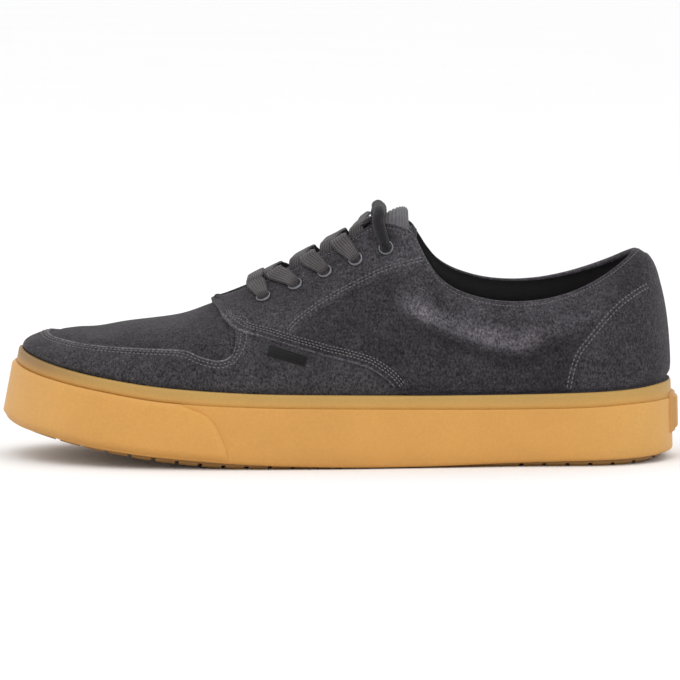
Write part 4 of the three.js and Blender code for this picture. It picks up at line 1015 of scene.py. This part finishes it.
def lace_runs(wide, ends, thick):
    """The flat runs: one straight across, then two from each pair of eyelets up to the next pair.

    The last two stop inside the throat's edges. A run is narrower and thicker where it enters an eyelet."""
    u, v = eyelet_places()
    outer, inner = (
        [(a, side * b) for a, b in zip(u, arch_half(u) + (1 - v) * reach_of(u, side))] for side in (OUTER, INNER)
    )
    stop, early = arch_half(u[-1]) - LACE_STOP, u[-1] - LACE_EARLY
    outer[-1], inner[-1] = (early, -stop), (early, stop)
    plans = [(outer[0], inner[0], 1.2)]
    for i in range(len(u) - 1):
        plans += [(inner[i], outer[i + 1], 3.4), (outer[i], inner[i + 1], 2.2)]
    made = []
    for k, (start, finish, dip) in enumerate(plans):
        path = lace_path(start, finish, lace_seat(thick), dip, (k == 0, k < len(plans) - 2), k > 0)
        away = [np.linalg.norm(path[0] - path[0][end], axis=1) for end in (0, -1)]
        open_out = fade(away[1], -1.0, 12.0) * (1 if k else fade(away[0], -1.0, 12.0))
        flat = 0.55 + 0.45 * fade(away[0], 3, 9) if k else 1.0
        made.append(strand_part(path, ends + (wide - ends) * open_out, thick * (1.5 - 0.5 * open_out) * flat))
    return made


def top_run(thick):
    """The rolled run between the top eyelets, thickest in its middle."""
    u, v = eyelet_places()
    across = arch_half(u[-1]) + (1 - v[-1]) * reach_of(u[-1:])[0]
    path = lace_path((u[-1], -across), (u[-1], across), lace_seat(thick), 4.4)
    t = np.linspace(0, 1, len(path[0]))
    swell = thick * (0.72 + 0.28 * np.sin(np.pi * t) ** 0.6)
    return strand_part(path, swell, swell, 1.0)


def ring_parts():
    """Eyelet rings: a rolled profile turned round each eyelet, standing on the quarter."""
    u, v = eyelet_places()
    hole, flange, thick = EYELET_HOLE, EYELET_FLANGE, EYELET_THICK
    a = np.radians(np.linspace(0, 180, 9))
    middle, half = (hole + flange) / 2, (flange - hole) / 2
    profile = [(hole, -2.6), (hole + 0.35, -2.6), (hole + 0.4, -0.2), (flange, 0.15)]
    profile += [(middle + half * np.cos(x), FIT_GAP + thick * np.sin(x)) for x in a]
    profile = np.array(profile)
    turn = np.linspace(0, 2 * np.pi, 33)[:-1]
    parts = []
    for side in (OUTER, INNER):
        seats = on_upper(u, v, side, QUARTER_STEP + SEAT_LIFT + 0 * u)
        normals = upper_normal(u, v, side)
        for place, normal in zip(seats, normals):
            first = unit(np.cross(normal, [0, 0, 1.0]))
            second = np.cross(normal, first)
            round_it = np.cos(turn)[:, None] * first + np.sin(turn)[:, None] * second
            points = place + profile[:, :1, None] * round_it[None] + profile[:, 1:, None] * normal
            parts.append((points, grid_faces(len(profile), len(turn), True, True)))
    return join(parts)


def tag_part():
    """The side tag: a bare woven label with a rounded rim, between its four corners."""
    u, v = place_on_side(SIDE_TAG)
    s, t = np.meshgrid(np.linspace(0, 1, 41), np.linspace(0, 1, 25))

    def blend(c):
        return (c[3] * (1 - s) + c[2] * s) * (1 - t) + (c[0] * (1 - s) + c[1] * s) * t

    edge = np.minimum(np.minimum(s, 1 - s) * 17, np.minimum(t, 1 - t) * 4.6)
    rise = 0.9 * np.sqrt(1 - (1 - np.clip(edge / 0.5, 0, 1)) ** 2) - 0.15 * bell(edge, 0.9, 0.15)
    low = GUARD_STEP + FIT_GAP
    front = on_upper(blend(u), blend(v), OUTER, low + rise)
    behind = on_upper(blend(u), blend(v), OUTER, low - 0.5 + 0 * rise)
    return plate(front, behind)


# Stitches
def row_beside(u, v, side, distance, height, pitch, long, thick, slant=0.0):
    """A row of stitches along a curve on the upper, a distance beside it and at height(u, v, side)."""
    window = np.ones(31) / 31
    u, v = (np.convolve(np.pad(line, 15, "edge"), window, "valid") for line in beside(u, v, side, distance))
    points = on_upper(u, v, side, height(u, v, side))
    return stitch_parts(points, upper_normal(u, v, side), pitch, long, thick, slant)


def guard_height(u, v, side):
    """Height of the mudguard's face for a stitch."""
    return GUARD_STEP - 0.05 + 0 * u


def quarter_height(u, v, side):
    """Height of the quarter's face for a stitch: it thins towards its front corner on the ridge."""
    share = fade((1 - quarter_edge(u)) * reach_of(u, side), 1.5, 8)
    return (QUARTER_STEP + pad_relief(u, v, side)) * share + 0.05


def stitch_rows(pitch, long, thick):
    """The rows along the mudguard, the quarter's front, the eyestay, the heel cup and the top edge."""
    parts, even = [], np.linspace(0, 1, 300)
    for side in (OUTER, INNER):
        u = np.linspace(0.05, 8.7, 900)
        for d in GUARD_STITCHES:
            parts.append(row_beside(u, guard_edge(u), side, -d, guard_height, pitch, long, thick))
        u = np.linspace(7.62, 15.0, 700)
        for d in QUARTER_STITCHES:
            parts.append(row_beside(u, quarter_edge(u), side, d, quarter_height, pitch * 0.86, long * 0.82, thick))
        for seam, rows in ((EYESTAY_SEAM, (0.6, 2.1)), (COUNTER_SEAM, (0.9, 2.5))):
            keyed = np.column_stack([np.linspace(0, 1, len(seam)), seam])
            u, v = place_on_side(np.stack([smooth(keyed, 1, even), smooth(keyed, 2, even)], -1))
            for d in rows:
                parts.append(row_beside(u, v, side, -d, quarter_height, pitch, long, thick))
        u = np.linspace(8.6, 30.95, 900)
        v = 1 - 2.3 / reach_of(u, side)
        parts.append(row_beside(u, v, side, 0.0, quarter_height, pitch * 0.8, long * 0.75, thick * 0.75))
    return join(parts)


def bartack_part(pitch, thick):
    """The dark tack at the front corner of the quarter, on each side of the ridge."""
    parts = []
    for side in (OUTER, INNER):
        v = np.linspace(0.86, 0.99, 30)
        u = 7.75 + 0.9 * (v - 0.86)
        parts.append(row_beside(u, v, side, 0.0, quarter_height, pitch, 2.6, thick, 1.2))
    return join(parts)


# Settings
def size(name, default, text, low=0.0001, high=0.05):
    """A length that the user can change."""
    return bpy.props.FloatProperty(
        name=name, description=text, default=default, min=low, max=high, precision=5, unit="LENGTH", subtype="DISTANCE"
    )


def colour(name, rgb, text):
    """A colour that the user can change, from values of 0 to 255."""
    return bpy.props.FloatVectorProperty(
        name=name, description=text, default=linear(rgb), min=0, max=1, size=3, subtype="COLOR"
    )


class ShoeSizes(bpy.types.PropertyGroup):
    """Sizes of the parts that are sewn or threaded on."""

    lace_width: size("Lace width", 0.008, "Width of the flat lace over the throat")
    lace_end: size("Lace end", 0.0036, "Width of the flat lace where it enters an eyelet")
    lace_thick: size("Lace thickness", 0.0013, "Thickness of the flat lace")
    cord_thick: size("Top cord", 0.0054, "Diameter of the rolled top run of the lace")
    stitch_pitch: size("Stitch pitch", 0.0019, "Distance from one stitch to the next")
    stitch_long: size("Stitch length", 0.00145, "Visible length of one stitch")
    stitch_thick: size("Thread", 0.00055, "Thickness of the thread")


class ShoeColours(bpy.types.PropertyGroup):
    """Colours of the finishes."""

    toe: colour("Toe panel", (52, 50, 52), "Suede of the toe panel")
    guard: colour("Mudguard", (57, 55, 57), "Suede of the mudguard")
    quarter: colour("Quarter", (50, 48, 51), "Suede of the quarter and collar")
    lining: colour("Lining", (32, 31, 32), "Cloth inside the shoe")
    tongue: colour("Tongue", (95, 93, 97), "Ribbed cloth of the tongue")
    lace: colour("Lace", (78, 74, 75), "Flat woven lace")
    cord: colour("Top cord", (36, 34, 37), "Rolled top run of the lace")
    thread: colour("Thread", (98, 96, 97), "Stitching")
    tag: colour("Side tag", (12, 12, 13), "Bare woven label")
    metal: colour("Eyelets", (104, 104, 109), "Plated eyelet rings")
    wall: colour("Gum wall", (197, 143, 72), "Side of the sole")
    band: colour("Gum band", (173, 137, 74), "Band above the wall")
    patch: colour("Heel patch", (186, 137, 78), "Plate on the heel")
    floor: colour("Floor", (246, 246, 246), "Studio floor")


class Piece(bpy.types.Operator):
    """Builds one group of pieces."""

    bl_idname = "shoe.piece"
    bl_label = "Piece"
    bl_options = {"REGISTER", "UNDO"}

    def execute(self, context):
        self.build(context.scene.shoe_sizes, context.scene.shoe_colours)
        return {"FINISHED"}


class SHOE_OT_camera(Piece):
    """Sets the camera at the photograph's angle, in line with the outer side and a little above it"""

    bl_idname = "shoe.camera"
    bl_label = "Camera"

    def build(self, size, colour):
        data = bpy.data.cameras.new("camera")
        data.lens, data.sensor_width, data.clip_end = 240.6, 36.0, 100.0
        camera = bpy.data.objects.new("camera", data)
        lift, away = np.radians(5.5), 2.0
        camera.location = (0, -away * np.cos(lift), 0.0511 + away * np.sin(lift))
        camera.rotation_euler = (np.pi / 2 - lift, 0, 0)
        bpy.context.scene.collection.objects.link(camera)
        bpy.context.scene.camera = camera


class SHOE_OT_sole(Piece):
    """Builds the gum sole: foxing, band, toe bumper and heel patch, and finishes the tread and insole"""

    bl_idname = "shoe.sole"
    bl_label = "Sole"

    def build(self, size, colour):
        gum, band = gum_finish("gum_wall", colour.wall), gum_finish("gum_band", colour.band)
        patch = gum_finish("gum_patch", colour.patch)
        foxing = foxing_part()
        seat(add_piece("sole_foxing", [foxing], gum, wall_tint(foxing[0], 1.0)), "gum", "foxing")
        strip = band_part()
        seat(add_piece("sole_band", [strip], band, band_tint(strip[0])), "gum_band", "foxing_band")
        bumper = bumper_part()
        seat(add_piece("sole_toe_bumper", [bumper], gum, wall_tint(bumper[0], 1.04)), "gum", "toe_bumper")
        plate = patch_part()
        seat(add_piece("sole_heel_patch", [plate], patch), "gum", "heel_patch")
        # The tread is the wall's gum at half its colour: painted shade under the sole.
        tread = gum_finish("gum_tread_painted_shade", [c * 0.5 for c in colour.wall])
        footbed = cloth_finish("footbed", colour.lining, 0.0009)
        for node, material in (("outsole", tread), ("insole", footbed)):
            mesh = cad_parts[node].data
            mesh.color_attributes.new("tint", "FLOAT_COLOR", "POINT").data.foreach_set(
                "color", np.ones(4 * len(mesh.vertices))
            )
            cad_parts[node].material_slots[0].material = material


class SHOE_OT_upper(Piece):
    """Builds the suede panels, the turned edge of the throat and collar, and the lining"""

    bl_idname = "shoe.upper"
    bl_label = "Upper"

    def build(self, size, colour):
        finishes = {name: suede_finish("suede_" + name, getattr(colour, name)) for name in ("toe", "guard", "quarter")}
        for name, part, finish in (
            ("upper_toe_panel", both_sides(toe_panel_part), "toe"),
            ("upper_mudguard", both_sides(guard_part), "guard"),
            ("upper_quarter", both_sides(quarter_part), "quarter"),
            ("upper_edge", both_sides(roll_part), "quarter"),
        ):
            tint = quarter_tint(part[0]) if finish == "quarter" else tint_of(part[0])
            if name == "upper_mudguard":
                tint = tint * raw_edge(part, 54, 45, 54, 2.8)
            if name == "upper_quarter":
                tint = tint * raw_edge(part, 118, 1, 9, 2.8, np.searchsorted(quarter_sections(), 14.8))
            if name == "upper_edge":
                tint = tint * raw_edge(part, 15, 5, 10, 1.6)
            seat(weld(add_piece(name, [part], finishes[finish], tint)), "suede", "upper")
        cloth = cloth_finish("lining_cloth", colour.lining, 0.0008)
        seat(weld(add_piece("upper_lining", [both_sides(lining_part)], cloth)), "lining", "upper")


class SHOE_OT_tongue(Piece):
    """Builds the padded tongue with its ribbed top"""

    bl_idname = "shoe.tongue"
    bl_label = "Tongue"

    def build(self, size, colour):
        part = tongue_part()
        cloth = cloth_finish("tongue_cloth", colour.tongue, 0.0007, 0.2)
        shade = 0.55 + 0.55 * fade(part[0][:, 0], 8, 16)
        piece = seat(add_piece("tongue_pad", [part], cloth, shade), "tongue_cloth", "tongue")


class SHOE_OT_laces(Piece):
    """Threads the flat lace and its rolled top run"""

    bl_idname = "shoe.laces"
    bl_label = "Laces"

    def build(self, size, colour):
        runs = lace_runs(size.lace_width * 1000, size.lace_end * 1000, size.lace_thick * 1000)
        woven = lace_finish("lace_cloth", colour.lace, 0.26)
        uv = np.concatenate([along.reshape(-1, 2) for _, along in runs])
        seat(add_piece("lace_runs", [part for part, _ in runs], woven, None, uv), "lace_cloth", "lace")
        part, along = top_run(size.cord_thick * 1000)
        rolled = lace_finish("cord_cloth", colour.cord, 0.5)
        seat(add_piece("lace_top_cord", [part], rolled, None, along), "cord_cloth", "lace_top_run")


class SHOE_OT_eyelets(Piece):
    """Sets the ten eyelet rings"""

    bl_idname = "shoe.eyelets"
    bl_label = "Eyelets"

    def build(self, size, colour):
        rings = add_piece("eyelet_rings", [ring_parts()], metal_finish("eyelet_metal", colour.metal))
        names = ["eyelet_%s_%d" % (side, i) for side in ("outer", "inner") for i in range(1, 6)]
        seat(rings, "dark_metal", *names)


class SHOE_OT_tag(Piece):
    """Sews the bare side tag under the quarter's edge"""

    bl_idname = "shoe.tag"
    bl_label = "Side tag"

    def build(self, size, colour):
        label = cloth_finish("tag_cloth", colour.tag, 0.0004, 0.3)
        seat(add_piece("side_label", [tag_part()], label), "tag_cloth", "side_tag")


class SHOE_OT_stitching(Piece):
    """Sews the rows of stitches along the panels, eyestay, heel cup and collar, and the front tack"""

    bl_idname = "shoe.stitching"
    bl_label = "Stitching"

    def build(self, size, colour):
        part = stitch_rows(size.stitch_pitch * 1000, size.stitch_long * 1000, size.stitch_thick * 1000)
        seat(add_piece("upper_stitches", [part], thread_finish("thread", colour.thread)), "suede", "upper")
        tack = bartack_part(size.stitch_pitch * 600, size.stitch_thick * 1600)
        seat(add_piece("upper_bartack", [tack], thread_finish("dark_thread", colour.lining)), "suede", "upper")


class SHOE_OT_stage(Piece):
    """Lays the pale floor and hangs soft studio lights"""

    bl_idname = "shoe.stage"
    bl_label = "Stage"

    def build(self, size, colour):
        reach = 40000.0
        corners = np.array([[(-reach, -reach, 0), (reach, -reach, 0)], [(-reach, reach, 0), (reach, reach, 0)]])
        floor_finish = Finish("floor_paper", colour.floor, 0.9, 0.1)
        floor_finish.vary(floor_finish.noise(3, 2), 0.995, 1.005)
        add_piece("floor", [(corners, grid_faces(2, 2))], floor_finish.done())
        world = bpy.data.worlds.new("studio")
        world.use_nodes = True
        world.node_tree.nodes["Background"].inputs["Color"].default_value = (1, 1, 1, 1)
        world.node_tree.nodes["Background"].inputs["Strength"].default_value = 1.06
        bpy.context.scene.world = world
        for name, power, width, place, turn in (
            ("key", 7, 1.2, (-0.5, -1.1, 1.9), (30, 0, -22)),
            ("fill", 2.5, 1.2, (1.4, -1.2, 0.9), (62, 0, 50)),
            ("top", 3, 2.4, (0.1, 0.3, 2.2), (0, 0, 0)),
        ):
            data = bpy.data.lights.new(name, "AREA")
            data.energy, data.size = power, width
            light = bpy.data.objects.new(name, data)
            light.location = place
            light.rotation_euler = np.radians(turn)
            bpy.context.scene.collection.objects.link(light)
        bpy.context.scene.view_settings.view_transform = "Standard"


STEPS = (
    SHOE_OT_camera, SHOE_OT_sole, SHOE_OT_upper, SHOE_OT_tongue, SHOE_OT_laces, SHOE_OT_eyelets, SHOE_OT_tag,
    SHOE_OT_stitching, SHOE_OT_stage,
)


class SHOE_PT_panel(bpy.types.Panel):
    """Lists the sizes, the colours and the steps"""

    bl_idname = "SHOE_PT_panel"
    bl_label = "Suede skate shoe"
    bl_space_type = "VIEW_3D"
    bl_region_type = "UI"
    bl_category = "Shoe"

    def draw(self, context):
        for group in (context.scene.shoe_sizes, context.scene.shoe_colours):
            for name in group.__annotations__:
                self.layout.prop(group, name)
        for step in STEPS:
            self.layout.operator(step.bl_idname)


CLASSES = (ShoeSizes, ShoeColours) + STEPS + (SHOE_PT_panel,)


def register():
    for kind in CLASSES:
        bpy.utils.register_class(kind)
    bpy.types.Scene.shoe_sizes = bpy.props.PointerProperty(type=ShoeSizes)
    bpy.types.Scene.shoe_colours = bpy.props.PointerProperty(type=ShoeColours)


def unregister():
    del bpy.types.Scene.shoe_colours
    del bpy.types.Scene.shoe_sizes
    for kind in reversed(CLASSES):
        bpy.utils.unregister_class(kind)


def main():
    """Builds the shoe and its stage."""
    register()
    bpy.ops.shoe.camera()
    bpy.ops.shoe.sole()
    bpy.ops.shoe.upper()
    bpy.ops.shoe.tongue()
    bpy.ops.shoe.laces()
    bpy.ops.shoe.eyelets()
    bpy.ops.shoe.tag()
    bpy.ops.shoe.stitching()
    bpy.ops.shoe.stage()


if __name__ == "__main__":
    main()
